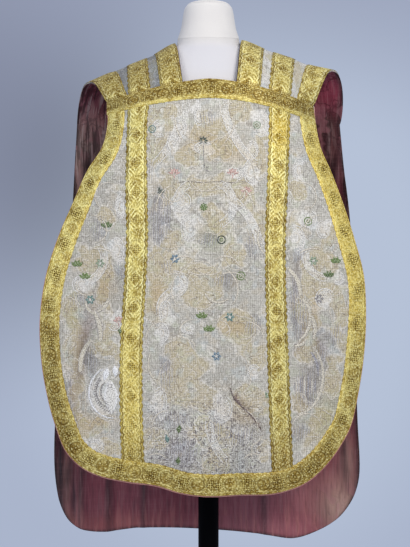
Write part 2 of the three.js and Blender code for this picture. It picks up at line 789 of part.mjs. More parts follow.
for (const panel of ['front', 'back']) {
  const own = cells.filter((one) => one.panel === panel);
  add(`${panel}_panel`, wall(own, layer.panel), lampas);
  add(`${panel}_lining`, wall(own, layer.lining), liningSilk);
}
const braids = {
  chest: 'chest_galloon',
  front_edge: 'front_edge_galloon',
  front_column_left: 'front_column_galloon_left',
  front_column_right: 'front_column_galloon_right',
  neck: 'neck_galloon',
  back_edge: 'back_edge_galloon',
  back_column_left: 'back_column_galloon_left',
  back_column_right: 'back_column_galloon_right',
};
for (const [braid, name] of Object.entries(braids)) {
  add(name, wall(cells.filter((one) => one.braid === braid), layer.galloon), goldBraid);
}
add('form_torso', torso, jersey);
add('form_neck', neck, jersey);
add('form_neck_cap', neckCap, jersey);
add('form_flange', flangeShape, blackPaint);
add('pole', poleShape, blackPaint);
add('base_hub', hubShape, blackPaint);
add('base_plate', baseShape, blackPaint);

export default chasuble;
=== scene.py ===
# %% [markdown]
# # A roman chasuble on a dress form
#
# A roman chasuble is a stiff vestment of two panels that meet on the shoulders. The front is
# shaped like a fiddle, and the back is long and plain. This one is of cream and silver lampas
# lined with burgundy silk, and gold braid covers its edges and its two upright bands. It rests
# on a limbless form of white jersey on a black pole.
#
# The model made in CAD comes first, as a frame that nothing here may move. Every surface below
# has the same measures in finer steps, and takes the place of the plain solid there.

# %% Load the frame
import math

import bpy
import numpy as np
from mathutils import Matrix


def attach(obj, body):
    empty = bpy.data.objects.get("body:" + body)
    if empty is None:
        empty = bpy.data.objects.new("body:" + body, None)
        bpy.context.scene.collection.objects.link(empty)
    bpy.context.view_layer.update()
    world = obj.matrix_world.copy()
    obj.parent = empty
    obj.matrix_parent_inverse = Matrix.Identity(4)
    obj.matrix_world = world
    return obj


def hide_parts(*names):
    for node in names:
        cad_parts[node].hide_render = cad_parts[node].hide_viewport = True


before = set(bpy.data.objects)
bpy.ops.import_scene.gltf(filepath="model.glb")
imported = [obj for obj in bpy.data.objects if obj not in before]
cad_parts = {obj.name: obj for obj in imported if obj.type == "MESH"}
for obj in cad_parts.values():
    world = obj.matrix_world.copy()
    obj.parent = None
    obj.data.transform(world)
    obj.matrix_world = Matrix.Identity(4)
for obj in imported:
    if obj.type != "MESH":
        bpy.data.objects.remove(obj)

scene = bpy.context.scene
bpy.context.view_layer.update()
print("nodes in the frame:", len(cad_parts))

# %% [markdown]
# ## Camera
#
# The chasuble is seen square on, from about 2.7 m away, with the camera level at the height
# of its middle. A long lens keeps the sides from looking stretched.

# %% Camera
SENSOR, LENS = 36, 83.45
CAMERA_PLACE = (-0.0075, -2.74, 0.925)


def new_object(name, data):
    """An object of that name in the scene."""
    thing = bpy.data.objects.new(name, data)
    scene.collection.objects.link(thing)
    return thing


camera_data = bpy.data.cameras.new("camera")
camera_data.sensor_width, camera_data.lens = SENSOR, LENS
camera = new_object("camera", camera_data)
camera.location = CAMERA_PLACE
camera.rotation_euler = (math.pi / 2, 0, 0)
scene.camera = camera
scene.view_settings.view_transform = "Standard"
print("camera at", CAMERA_PLACE, "with a lens of", LENS, "mm")

# %% [markdown]
# ## Measures
#
# All lengths are in millimetres until a mesh is made. The tables are a tailor's: each row is
# a height, or a station along a hem, with the distances measured there. A smooth curve
# through the rows gives every value in between.

# %% Reading a table
def read(keys, values, at):
    """The value of a table at any key, by a cubic between two rows.

    Each row's slope is that of the line through its two neighbours:
    value = a u^2 (1 + 2t) + b t^2 (1 + 2u) + span t u (slope_a u - slope_b t), with u = 1 - t.
    """
    keys, values = np.asarray(keys, float), np.asarray(values, float)
    if keys[0] > keys[-1]:
        keys, values = keys[::-1], values[::-1]
    index = np.arange(len(keys))
    before, after = np.maximum(index - 1, 0), np.minimum(index + 1, len(keys) - 1)
    slopes = (values[after] - values[before]) / (keys[after] - keys[before])
    at = np.asarray(at, float)
    i = np.clip(np.searchsorted(keys, at, side="right") - 1, 0, len(keys) - 2)
    span = keys[i + 1] - keys[i]
    t = np.clip((at - keys[i]) / span, 0, 1)
    u = 1 - t
    ends = values[i] * u * u * (1 + 2 * t) + values[i + 1] * t * t * (1 + 2 * u)
    return ends + span * t * u * (slopes[i] * u - slopes[i + 1] * t)


class Table:
    """Named columns of numbers, read at any value of the first."""

    def __init__(self, names, *rows):
        self.columns = dict(zip(names.split(), np.array(rows, float).T))
        self.key = names.split()[0]

    def __getattr__(self, name):
        return self.columns[name]

    def at(self, name, key):
        return read(self.columns[self.key], self.columns[name], key)


def lerp(a, b, share):
    """a + (b - a) share."""
    return a + (b - a) * share


def smooth(share):
    """0 below 0, 1 above 1 and 3s^2 - 2s^3 between."""
    share = np.clip(share, 0, 1)
    return share * share * (3 - 2 * share)


# %% [markdown]
# ## The front
#
# A fiddle-shaped front is narrow across the chest and broad below the waist. Half widths at a
# few heights are what a maker measures, and each can be changed by itself. A second table
# says how far the cloth hangs in front of the axis.

# %% The cut and the hang of the front
# The braid's width, and the inner and outer height of each layer over the panel's inner face.
GALLOON_WIDTH = 43
LINING, PANEL, GALLOON = (-1.3, -0.3), (0, 2), (2.3, 3.5)

front_sides = Table(
    "z left right",
    (1288, 213, 222), (1240, 211, 226), (1190, 222, 236), (1140, 254, 258),
    (1070, 284, 284), (1000, 313, 306), (920, 338, 327), (830, 350, 331),
    (740, 346, 325), (660, 331, 311), (605, 314, 296),
)
front_hem = Table(
    "x z",
    (-296, 561), (-265, 529), (-224, 510), (-168, 499), (-108, 491), (-56, 477),
    (0, 471), (68, 474), (138, 476), (196, 493), (240, 526), (273, 566),
)
front_depth = Table(
    "z middle left right reach",
    (1330, -112, -55, -55, 214), (1289, -123, -56, -54, 216),
    (1240, -134, -56, -51, 220), (1140, -143, -68, -52, 256),
    (1000, -147, -86, -52, 312), (830, -149, -95, -46, 345),
    (660, -150, -100, -52, 336), (467, -150, -104, -70, 336),
)
front_columns = Table(
    "z left_outer left_inner right_inner right_outer",
    (1290, -165, -122, 126, 169), (1240, -167, -128, 126, 167),
    (1100, -169, -128, 121, 161), (1000, -167, -126, 117, 156),
    (890, -172, -131, 118, 157), (780, -179, -137, 121, 161),
    (650, -180, -137, 125, 166), (530, -176, -133, 130, 171),
)
FRONT_CURL = 2.4         # the greater, the flatter in the middle and the rounder at the sides
CHEST_TOP_Z, CHEST_BOTTOM_Z = 1328, 1287
CHEST_END = {-1: 213, 1: 220}
CHEST_TOP = {-1: (40, 1.3), 1: (47, 1.5)}
CHEST_BOTTOM = {-1: (27, 1.4), 1: (41, 1.7)}


def chest_line(height, drops, x):
    """A line across the chest: its height less drop (|x| / end)^power, each side's own."""
    sides = [height - drop * (np.abs(x) / CHEST_END[sign]) ** power
             for sign, (drop, power) in drops.items()]
    return np.where(x < 0, *sides)


def chest_top(x):
    """The chest seam, where the front hangs from the straps."""
    return chest_line(CHEST_TOP_Z, CHEST_TOP, np.asarray(x, float))


def chest_bottom(x):
    """The lower edge of the braid across the chest."""
    return chest_line(CHEST_BOTTOM_Z, CHEST_BOTTOM, np.asarray(x, float))


print("front:", (front_sides.left + front_sides.right).max(), "mm at its widest")

# %% [markdown]
# ## The back
#
# The back is one piece with its two straps. A lane runs lengthwise along a strap, and crosses
# the blade line behind, the shoulder line on top and the chest seam in front. These places
# and its height on top fix its whole way.

# %% The back and the lanes over the shoulders
back_sides = Table(
    "z left right",
    (1255, 290, 290), (1170, 295, 298), (1050, 302, 312), (900, 316, 321),
    (750, 328, 326), (600, 339, 331), (500, 341, 336),
)
back_hem = Table(
    "x z",
    (-334, 431), (-322, 393), (-306, 368), (-279, 350), (-229, 343), (-152, 350),
    (-25, 346), (111, 336), (183, 326), (217, 332), (261, 354), (296, 383),
    (321, 421), (333, 459),
)
back_depth = Table(
    "z middle left right reach",
    (1330, 105, 58, 58, 290), (1255, 122, 70, 70, 290), (1100, 137, 72, 72, 303),
    (900, 142, 75, 75, 320), (600, 145, 75, 78, 338), (326, 147, 84, 90, 338),
)
BACK_CURL = 2.6
BACK_COLUMN = (141, 183)
BLADE_REACH, BLADE_Z, BLADE_DROP = 290, 1330, 75

# Where each lane crosses the shoulder blade, the chest seam and the shoulder line.
lanes = {
    -1: Table(
        "blade seam crest crest_z",
        (0, 0, 0, 1424), (72, 54, 74, 1418), (113, 99, 116, 1395),
        (141, 122, 135, 1386), (183, 165, 173, 1371), (251, 170, 204, 1358),
        (290, 213, 256, 1336),
    ),
    1: Table(
        "blade seam crest crest_z",
        (0, 0, 0, 1424), (72, 58, 73, 1425), (113, 106, 120, 1407),
        (141, 126, 142, 1399), (183, 169, 185, 1385), (251, 184, 217, 1373),
        (290, 220, 269, 1362),
    ),
}
# Lanes of the neck opening, of the neck braid's outer side and of the edge braid's inner one.
NECK, STRIP, BAND = 72, 113, 251
SHOULDER_CURVE = 1.44
SPREAD_FRONT, SPREAD_BACK = 1.15, 0.7
RIGHT_FLARE, RIGHT_CREST = 9, 269
YOKE_TURN, YOKE_BRAID_TURN = 42, 63


def blade_line(x):
    """Across the shoulder blades: its height less drop (|x| / reach)^1.5."""
    return BLADE_Z - BLADE_DROP * (np.abs(x) / BLADE_REACH) ** 1.5


print("back:", (back_sides.left + back_sides.right).max(), "mm at its widest")

# %% [markdown]
# ## How the cloth hangs
#
# Each hanging panel is a height field: its depth is a function of where it is seen from the
# front. It is deepest in the middle and curls back towards both sides. Folds run downwards and
# creases along any line. All of them are soft and fade out at their ends, because a stiff
# lined cloth never folds sharply.

# %% Folds and creases
# Folds: from (x, z) down, with a lean, a length, a width and a height out of the cloth.
front_folds = [
    (-226, 880, -0.22, 190, 30, -7), (-285, 820, -0.1, 200, 34, 5),
    (166, 1090, 0.1, 320, 34, 6), (250, 900, 0.05, 260, 40, -5),
    (-108, 580, 0, 110, 46, -7), (60, 640, 0.3, 170, 36, 5),
]
back_folds = [
    (-206, 620, 0, 280, 34, 7), (-110, 900, -0.02, 560, 46, -6),
    (96, 1000, 0.03, 640, 48, -6), (212, 660, 0.04, 320, 36, 7),
    (-300, 900, -0.05, 420, 30, 5), (300, 900, 0.04, 420, 30, 5),
]
# Creases: from (x, z) to (x2, z2), bowed sideways, with a width and a height out of the cloth.
front_creases = [
    (44, 668, 116, 578, -14, 7, -3), (52, 678, 108, 600, -14, 16, 1.6),
    (-226, 870, -262, 730, 10, 12, -3.2), (-206, 860, -240, 720, 10, 14, 2.4),
    (-200, 1130, -216, 930, 12, 20, 2.2), (-236, 1000, -226, 820, -8, 14, -2.4),
    (166, 925, 204, 826, 12, 12, 3), (180, 935, 222, 850, 12, 12, -2.8),
    (192, 1080, 200, 930, 8, 18, 2.4), (214, 800, 236, 640, -12, 20, -2.6),
    (240, 740, 262, 610, 6, 16, 2.2), (-70, 905, -40, 700, 16, 26, 1.4),
    (20, 1010, 46, 860, -10, 22, -1.5), (-96, 1180, -104, 980, 6, 20, -1.6),
    (84, 1160, 96, 930, -8, 22, 1.6), (-30, 600, -40, 490, 4, 18, 2.2),
    (30, 560, 66, 485, 6, 16, -1.8), (-150, 560, -130, 500, 4, 16, -2),
    (150, 560, 190, 500, 6, 16, 2), (-60, 1240, -30, 1130, 8, 24, 1),
    (-300, 700, -282, 600, -6, 18, 2), (296, 860, 300, 700, 6, 18, -2),
]
back_creases = [
    (-214, 640, -226, 280, 5, 9, -5), (-198, 600, -206, 300, 3, 14, 3),
    (-143, 580, -147, 280, 2, 7, -4), (-164, 520, -168, 300, 0, 12, 2.2),
    (126, 640, 131, 270, 3, 8, -4.2), (150, 560, 160, 300, 2, 14, 2.4),
    (-268, 620, -286, 330, 8, 9, -3.4), (-250, 560, -262, 330, 6, 12, 2.4),
    (304, 640, 312, 430, 4, 7, -4), (262, 470, 306, 400, 5, 12, -2.8),
    (250, 440, 300, 372, 5, 12, -2.2), (-296, 560, -318, 400, 6, 8, -3),
    (-282, 1250, -268, 1120, 4, 6, -4.2), (-262, 1240, -280, 1060, -5, 7, -3.6),
    (-290, 1090, -284, 900, 4, 7, -3), (262, 1250, 282, 1130, 5, 6, -4.4),
    (286, 1230, 268, 1080, -4, 7, -4), (276, 1120, 298, 940, 4, 7, -3.4),
    (222, 520, 236, 340, 6, 16, 2.6), (-60, 700, -52, 350, 8, 20, 1.8),
    (40, 760, 52, 340, 6, 22, -1.8), (-262, 1190, -276, 900, 6, 16, 2.6),
    (-286, 1240, -270, 1080, 8, 12, -2.4), (268, 1200, 286, 940, -6, 16, 2.6),
    (292, 1240, 276, 1090, -6, 12, -2.4), (-80, 1180, -70, 940, 6, 26, -1.6),
    (80, 1150, 76, 900, -6, 26, 1.6), (0, 1050, 8, 820, 6, 30, 1.2),
]


def fold_height(folds, x, z):
    """Sum over folds of out exp(-(across / width)^2) sin^2(pi along / 1.4)."""
    height = np.zeros(np.broadcast(x, z).shape)
    for start_x, start_z, lean, length, width, out in folds:
        along = np.clip((start_z - z) / length, 0, 1.4)
        across = (x - start_x - lean * (start_z - z)) / width
        height += out * np.exp(-across**2) * np.sin(math.pi * along / 1.4) ** 2
    return height


def crease_height(creases, x, z):
    """Sum over creases of out exp(-(distance / width)^2) sin(pi along)^0.8."""
    height = np.zeros(np.broadcast(x, z).shape)
    for x1, z1, x2, z2, bow, width, out in creases:
        run = math.hypot(x2 - x1, z2 - z1)
        dx, dz = (x2 - x1) / run, (z2 - z1) / run
        along = np.clip(((x - x1) * dx + (z - z1) * dz) / run, 0, 1)
        bent = bow * np.sin(math.pi * along)
        across = ((x - x1) * dz - (z - z1) * dx - bent) / width
        height += out * np.exp(-across**2) * np.sin(math.pi * along) ** 0.8
    return height


def depth(table, curl, x, z):
    """middle + (side - middle) (|x| / reach)^curl, each read at the height z."""
    middle, reach = table.at("middle", z), table.at("reach", z)
    side = np.where(x < 0, table.at("left", z), table.at("right", z))
    return middle + (side - middle) * (np.abs(x) / reach) ** curl


def hanging_depth(table, curl, folds, creases, facing):
    """The depth of a panel for any (x, z): its table's, and the sum of its folds and creases,
    which stand out the way it faces."""
    def depth_at(x, z):
        x, z = np.asarray(x, float), np.asarray(z, float)
        out = fold_height(folds, x, z) + crease_height(creases, x, z)
        return depth(table, curl, x, z) + facing * out

    return depth_at


def hanging_surface(depth_at):
    """The points (x, depth, z) of a panel for any (x, z)."""
    return lambda x, z: np.stack(np.broadcast_arrays(x, depth_at(x, z), z), -1)


front_y = hanging_depth(front_depth, FRONT_CURL, front_folds, front_creases, -1)
back_y = hanging_depth(back_depth, BACK_CURL, back_folds, back_creases, 1)
front_surface, back_surface = hanging_surface(front_y), hanging_surface(back_y)
print(len(front_folds + back_folds), "folds and", len(front_creases + back_creases), "creases")

# %% [markdown]
# ## Over the shoulders
#
# A strap is stiff, so it bends over the shoulder in one even curve, as a card does. Its second
# parameter is an angle, and the height and the depth follow from its cosine and sine.

# %% Over the shoulders
def over_shoulder(blade, turn):
    """A lane on its way over the shoulder.

    blade is where the lane crosses the blade line, and turn is -90 at the chest seam, 0 on the
    shoulder line and 90 on the blade line. Height falls as cos(turn)^1.44, depth grows as
    sin(turn), and the lane spreads from the shoulder line to its foot. Behind the right
    shoulder it flares out by 9 sin(2 turn), less and less towards the neck.
    """
    blade, turn = np.broadcast_arrays(np.asarray(blade, float), np.asarray(turn, float))
    sign = np.where(blade < 0, -1, 1)
    reach = np.abs(blade)

    def lane(name):
        return np.where(sign < 0, lanes[-1].at(name, reach), lanes[1].at(name, reach))

    beyond = np.maximum(reach - BLADE_REACH, 0)
    seam, crest, crest_z = lane("seam") + beyond, lane("crest") + beyond, lane("crest_z")
    behind = turn > 0
    angle = np.radians(np.abs(turn))
    foot_x = sign * np.where(behind, reach, seam)
    foot_z = np.where(behind, blade_line(foot_x), chest_top(foot_x))
    foot_y = np.where(behind, back_y(foot_x, foot_z), front_y(foot_x, foot_z))
    front_gone = np.maximum(1 - np.abs(turn) / 90, 0) ** SPREAD_FRONT
    back_gone = 1 - np.sin(angle) ** SPREAD_BACK
    gone = np.where(behind, back_gone, front_gone)
    flare = RIGHT_FLARE * np.sin(2 * angle) * (crest / RIGHT_CREST) ** 4
    return np.stack([
        foot_x + (sign * crest - foot_x) * gone + np.where(behind & (sign > 0), flare, 0),
        foot_y * np.sin(angle),
        foot_z + (crest_z - foot_z) * np.maximum(np.cos(angle), 0) ** SHOULDER_CURVE,
    ], -1)


def outward(surface, a, b, facing):
    """Unit normals of a surface: the cross product of its two slopes, turned to face out."""
    step = 0.5
    along_a = surface(a + step, b) - surface(a - step, b)
    along_b = surface(a, b + step) - surface(a, b - step)
    normal = np.cross(along_a, along_b) * facing
    return normal / np.linalg.norm(normal, axis=-1, keepdims=True)


# %% [markdown]
# ## Outlines
#
# Braid is sewn along the edge of the cloth, so the edge has to be a path that can be measured.
# The table reader already gives a smooth line through a few stations, so no spline is needed.

# %% Outlines
class Outline:
    """A smooth path through stations (x, z), moved outwards by grow and measured along it."""

    def __init__(self, sides, hem, grow=0):
        stations = np.array(
            [(-left, z) for z, left in zip(sides.z, sides.left)]
            + list(zip(hem.x, hem.z))
            + [(right, z) for z, right in zip(sides.z, sides.right)][::-1]
        )
        chords = np.r_[0, np.cumsum(np.hypot(*np.diff(stations.T)))]
        fine = np.linspace(0, chords[-1], 4000)
        x, z = read(chords, stations[:, 0], fine), read(chords, stations[:, 1], fine)
        slope = np.stack([np.gradient(x), np.gradient(z)])
        slope /= np.hypot(*slope)
        x, z = x + slope[1] * grow, z - slope[0] * grow
        self.s = np.r_[0, np.cumsum(np.hypot(np.diff(x), np.diff(z)))]
        self.x, self.z, self.length = x, z, self.s[-1]

    def at(self, s):
        """(x, z) at the length s along the path."""
        return np.interp(s, self.s, self.x), np.interp(s, self.s, self.z)

    def inwards(self, s, depth_of):
        """One braid's width in from the outline, measured on the cloth, as an (x, z) offset."""
        (x0, z0), (x1, z1) = self.at(np.maximum(s - 6, 0)), self.at(np.minimum(s + 6, self.length))
        run = np.hypot(x1 - x0, z1 - z0)
        dx, dz = -(z1 - z0) / run, (x1 - x0) / run
        x, z = self.at(s)
        near, far = GALLOON_WIDTH / 2 - 1, GALLOON_WIDTH / 2 + 1
        rise = (depth_of(x + dx * far, z + dz * far) - depth_of(x + dx * near, z + dz * near)) / 2
        width = GALLOON_WIDTH / np.hypot(1, rise)
        return dx * width, dz * width

    def where(self, test, low, high):
        """The length at which a test of (x, z) changes sign, between two lengths."""
        s = np.linspace(low, high, 2000)
        value = test(*self.at(s))
        return s[np.argmax(np.sign(value) != np.sign(value[0]))]


front_outline = Outline(front_sides, front_hem)
back_outline = Outline(back_sides, back_hem)
print("outlines:", round(front_outline.length), "mm and", round(back_outline.length), "mm")

# %% [markdown]
# ## From numbers to meshes
#
# A layer of cloth is a grid of points, moved outwards by the layer's two heights and closed
# round its rim. The lining, the panel and the braid on it all start from the same surface, so
# they lie on each other with the same small gap everywhere.

# %% Mesh helpers
MM = 0.001
pieces_made = []


def grid_faces(rows, columns, flip=False):
    """Quads of a grid whose points are numbered row by row."""
    corner = np.arange(rows * columns).reshape(rows, columns)[:-1, :-1]
    quads = np.stack([corner, corner + 1, corner + columns + 1, corner + columns], -1)
    return quads.reshape(-1, 4)[:, ::-1 if flip else 1]


def join(*parts):
    """Several (points, normals, faces, uv) in one, welded where points meet."""
    offsets = np.cumsum([0] + [len(part[0]) for part in parts[:-1]])
    points, normals, uv = (np.concatenate([part[k] for part in parts]) for k in (0, 1, 3))
    faces = np.concatenate([part[2] + start for part, start in zip(parts, offsets)])
    keys = np.round(points * 1000).astype(np.int64)
    _, first, again = np.unique(keys, axis=0, return_index=True, return_inverse=True)
    again = again.reshape(-1)
    return points[first], normals[first], again[faces], uv[first]


def border(faces):
    """The edges, as pairs of points, that belong to one face only."""
    edges = np.stack([faces, np.roll(faces, -1, axis=1)], -1).reshape(-1, 2)
    sorted_edges = np.sort(edges, axis=1)
    _, first, uses = np.unique(sorted_edges, axis=0, return_index=True, return_counts=True)
    return edges[first[uses == 1]]


def wall(points, normals, faces, inner, outer):
    """A closed layer: the faces at the outer height, their backs at the inner one, and a rim
    of quads along the border."""
    count, rim = len(points), border(faces)
    rim_faces = np.stack([rim[:, 1], rim[:, 0], rim[:, 0] + count, rim[:, 1] + count], -1)
    outer, inner = np.broadcast_to(outer, count), np.broadcast_to(inner, count)
    both = np.concatenate([points + normals * outer[:, None], points + normals * inner[:, None]])
    return both, np.concatenate([faces, faces[:, ::-1] + count, rim_faces])


def new_piece(name, points, faces, material, slot, uv, colours=None, sharp=50):
    """A smooth-shaded object from points in millimetres, with its UV map and point colours."""
    mesh = bpy.data.meshes.new(name)
    sides = faces.shape[1]
    mesh.vertices.add(len(points))
    mesh.vertices.foreach_set("co", (points * MM).astype(np.float32).ravel())
    mesh.loops.add(faces.size)
    mesh.loops.foreach_set("vertex_index", faces.astype(np.int32).ravel())
    mesh.polygons.add(len(faces))
    mesh.polygons.foreach_set("loop_start", np.arange(0, faces.size, sides, dtype=np.int32))
    mesh.update(calc_edges=True)
    layer = mesh.uv_layers.new(name="cloth")
    layer.data.foreach_set("uv", (uv[faces.ravel()] * MM).astype(np.float32).ravel())
    for title, values in (colours or {}).items():
        colour = mesh.attributes.new(title, "FLOAT_COLOR", "POINT")
        rgba = np.concatenate([values, np.ones((len(values), 1))], 1)
        colour.data.foreach_set("color", rgba.astype(np.float32).ravel())
    mesh.polygons.foreach_set("use_smooth", np.ones(len(faces), bool))
    mesh.set_sharp_from_angle(angle=math.radians(sharp))
    mesh.materials.append(material)
    piece = new_object(name, mesh)
    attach(piece, "root")
    count = (sides - 2) * len(faces)
    pieces_made.append(count)
    print(f"{name}: {count} triangles")
    return piece


def double(values):
    """The same values for both faces of a wall."""
    return np.concatenate([values, values])


def coons(top, bottom, left, right, u, v):
    """Fills a grid in from its four edges: the blend from top to bottom, and the blend from
    left to right, less the blend of the four corners that both hold."""
    top, bottom = top[None], bottom[None]
    left, right = left[:, None], right[:, None]
    u, v = u[None, :, None], v[:, None, None]
    corners = ((1 - u) * (1 - v) * top[:, :1] + u * (1 - v) * top[:, -1:]
               + (1 - u) * v * bottom[:, :1] + u * v * bottom[:, -1:])
    return (1 - v) * top + v * bottom + (1 - u) * left + u * right - corners


# %% [markdown]
# ## The front and back as grids
#
# The front is one patch between the chest seam, the two sides and the hem. The back is made of
# four: two straps, the yoke that joins them behind the neck, and the long hanging part.
# Neighbours share their edge points, so they weld into one cloth.

# %% Hanging panels
# The ends of each hem, where the grid turns its corners, and the size of each grid.
FRONT_CORNERS, BACK_CORNERS = (-281, 252), (-302, 278)
FRONT_WIDTH, FRONT_LENGTH, BACK_LENGTH = 620, 820, 920
SHOULDER_MM = 1.6        # cloth that passes over the shoulder for each degree of turn


def hanging_grid(outline, top_ends, corners, top_line, u, rows, x_top=None):
    """(x, z) of a grid between a top line, the outline's two sides and its hem."""
    (start, end), length = top_ends, outline.length
    stop_left = outline.where(lambda x, z: x - corners[0], length * 0.35, length / 2)
    stop_right = outline.where(lambda x, z: x - corners[1], length * 0.65, length / 2)
    v = np.linspace(0, 1, rows)
    left = np.stack(outline.at(lerp(start, stop_left, v)), -1)
    right = np.stack(outline.at(lerp(end, stop_right, v)), -1)
    x_top = lerp(left[0, 0], right[0, 0], u) if x_top is None else x_top
    top = np.stack([x_top, top_line(x_top)], -1)
    left[0], right[0] = top[0], top[-1]
    hem_s = np.linspace(stop_left, stop_right, 2000)
    hem_x, hem_z = outline.at(hem_s)
    x_hem = lerp(left[-1, 0], right[-1, 0], u)
    bottom = np.stack([x_hem, np.interp(x_hem, hem_x, hem_z)], -1)
    bottom[0], bottom[-1] = left[-1], right[-1]
    return coons(top, bottom, left, right, u, v)


def even(low, high, step):
    """Evenly spaced values with about that step."""
    return np.linspace(low, high, max(2, round(abs(high - low) / step) + 1))


def on_grid(surface, a, b, facing, flat, flip=False):
    """Points, normals, faces and flat coordinates of a grid (a, b) on a surface."""
    points, normals = surface(a, b), outward(surface, a, b, facing)
    faces = grid_faces(*a.shape, flip)
    return points.reshape(-1, 3), normals.reshape(-1, 3), faces, flat.reshape(-1, 2)


def front_cloth(step, grow=0):
    """The front's points, normals, faces and flat coordinates, let out by grow at its sides."""
    outline = Outline(front_sides, front_hem, grow)
    start = outline.where(lambda x, z: z - chest_top(x), 0, 200)
    end = outline.where(lambda x, z: z - chest_top(x), outline.length, outline.length - 200)
    u, rows = even(0, 1, step / FRONT_WIDTH), round(FRONT_LENGTH / step)
    flat = hanging_grid(outline, (start, end), FRONT_CORNERS, chest_top, u, rows)
    return on_grid(front_surface, flat[..., 0], flat[..., 1], 1, flat, flip=True)


def lane_values(step, *cuts):
    """Lanes by their place on the blade line, evenly between the given ones."""
    parts = [even(a, b, step) for a, b in zip(cuts, cuts[1:])]
    return np.concatenate([part[:-1] for part in parts] + [cuts[-1:]])


def shoulder_part(blade, turn):
    """A part of the cloth over the shoulders, for all pairs of a lane and a turn."""
    a, t = np.meshgrid(blade, turn)
    flat = np.stack([a, blade_line(a) + (90 - t) * SHOULDER_MM], -1)
    return on_grid(over_shoulder, a, t, 1, flat)


def back_cloth(step, grow=0):
    """The back with its straps, as front_cloth gives the front."""
    outline = Outline(back_sides, back_hem, grow)
    side, neck = BLADE_REACH + grow, NECK - grow
    lanes_across = lane_values(step, -side, -neck, neck, side)
    u = (lanes_across + side) / (2 * side)
    ends, rows = (0, outline.length), round(BACK_LENGTH / step)
    flat = hanging_grid(outline, ends, BACK_CORNERS, blade_line, u, rows, lanes_across)
    hanging = on_grid(back_surface, flat[..., 0], flat[..., 1], -1, flat)
    yoke = shoulder_part(lanes_across, even(YOKE_TURN, 90, step / SHOULDER_MM))
    strap_turns = even(-90, YOKE_TURN, step / SHOULDER_MM)
    left = shoulder_part(lane_values(step, -side, -neck), strap_turns)
    right = shoulder_part(lane_values(step, neck, side), strap_turns)
    return join(hanging, yoke, left, right)


# %% [markdown]
# ## Ornament of the lampas
#
# The lampas is woven with loose flowers on tan grounds, white shells and lilac-grey shading,
# much the same to the left and the right of its middle. Where each lies is a list of soft
# ovals, set out one by one. Each point of the cloth stores how much of each colour it has, and
# the finish frays their edges. The same lists place the raised outlines. Soft tints, some left
# by age and wear, and painted shade along folds are ovals too, and ribbons of white beads bend
# in arcs.

# %% Grounds of the ornament
# Ovals: (x, z, half width, half height).
BLOSSOMS = [
    (-90, 1250, 32, 30), (66, 1252, 40, 28), (-9, 1214, 38, 18), (22, 1180, 26, 24),
    (-36, 1166, 26, 24), (-92, 1178, 16, 24), (-30, 1094, 26, 20), (68, 1090, 26, 24),
    (10, 1036, 28, 28), (-74, 998, 22, 20), (-104, 930, 20, 34), (-18, 922, 38, 24),
    (60, 958, 24, 24), (-106, 868, 22, 48), (-8, 874, 36, 20), (54, 814, 38, 24),
    (-56, 770, 26, 22), (-46, 706, 36, 50), (84, 668, 32, 28), (-10, 664, 24, 20),
    (-11, 600, 28, 28), (-106, 586, 22, 22), (16, 540, 28, 20), (96, 760, 20, 26),
    (-238, 950, 32, 22), (-208, 1040, 16, 24), (-212, 908, 18, 34), (-284, 838, 18, 34),
    (-278, 756, 20, 36), (-212, 776, 26, 26), (-270, 666, 16, 42), (-238, 612, 34, 22),
    (-204, 566, 22, 18), (180, 1100, 18, 20), (232, 950, 34, 26), (252, 998, 18, 28),
    (206, 900, 24, 26), (204, 830, 22, 34), (272, 846, 18, 34), (206, 768, 24, 26),
    (256, 712, 20, 44), (226, 614, 34, 26), (186, 660, 14, 18), (108, 560, 20, 22),
    (-112, 1196, 16, 50), (106, 1166, 18, 46), (100, 1036, 20, 44), (-82, 1104, 18, 34),
]
SHELLS = [
    (-100, 1223, 16, 18), (-60, 1226, 14, 22), (-74, 1190, 12, 18), (108, 1236, 16, 28),
    (86, 1133, 14, 24), (89, 1180, 12, 18), (-11, 1182, 18, 12), (-56, 1072, 20, 20),
    (-38, 1020, 18, 30), (56, 1128, 14, 12), (-88, 846, 13, 22), (-62, 902, 9, 7),
    (-40, 812, 16, 10), (-98, 804, 16, 20), (92, 722, 12, 16), (28, 650, 20, 28),
    (-180, 1063, 10, 26), (-188, 973, 14, 26), (-262, 902, 20, 18),
    (-192, 826, 14, 18), (-214, 680, 26, 48), (-236, 570, 20, 14), (188, 1140, 12, 24),
    (206, 1039, 18, 18), (238, 1016, 14, 18), (180, 998, 16, 26), (240, 873, 20, 20),
    (270, 916, 12, 14), (-20, 1250, 9, 22), (-100, 660, 14, 34),
]
SHADES = [
    (-1, 1244, 18, 16), (-97, 1046, 22, 58), (-1, 994, 20, 16), (93, 985, 14, 34),
    (-104, 1002, 12, 28), (30, 912, 22, 16), (89, 820, 14, 24), (-87, 720, 14, 40),
    (-75, 628, 36, 18), (-54, 560, 28, 30), (62, 596, 26, 24), (15, 612, 14, 28),
    (-83, 940, 10, 16), (-120, 1137, 8, 28), (-226, 1018, 18, 28), (-177, 932, 12, 24),
    (-268, 872, 16, 16), (-242, 744, 12, 38), (-284, 600, 14, 22), (-290, 694, 10, 22),
    (178, 891, 14, 30), (180, 826, 12, 26), (226, 750, 16, 36), (202, 690, 24, 44),
    (186, 850, 18, 60), (188, 600, 20, 18), (262, 800, 14, 26), (187, 963, 12, 20),
    (46, 508, 36, 16),
]
GROUNDS = {"tan": BLOSSOMS, "white": SHELLS, "shade": SHADES}
print(len(BLOSSOMS), "flowers,", len(SHELLS), "shells and", len(SHADES), "shades")
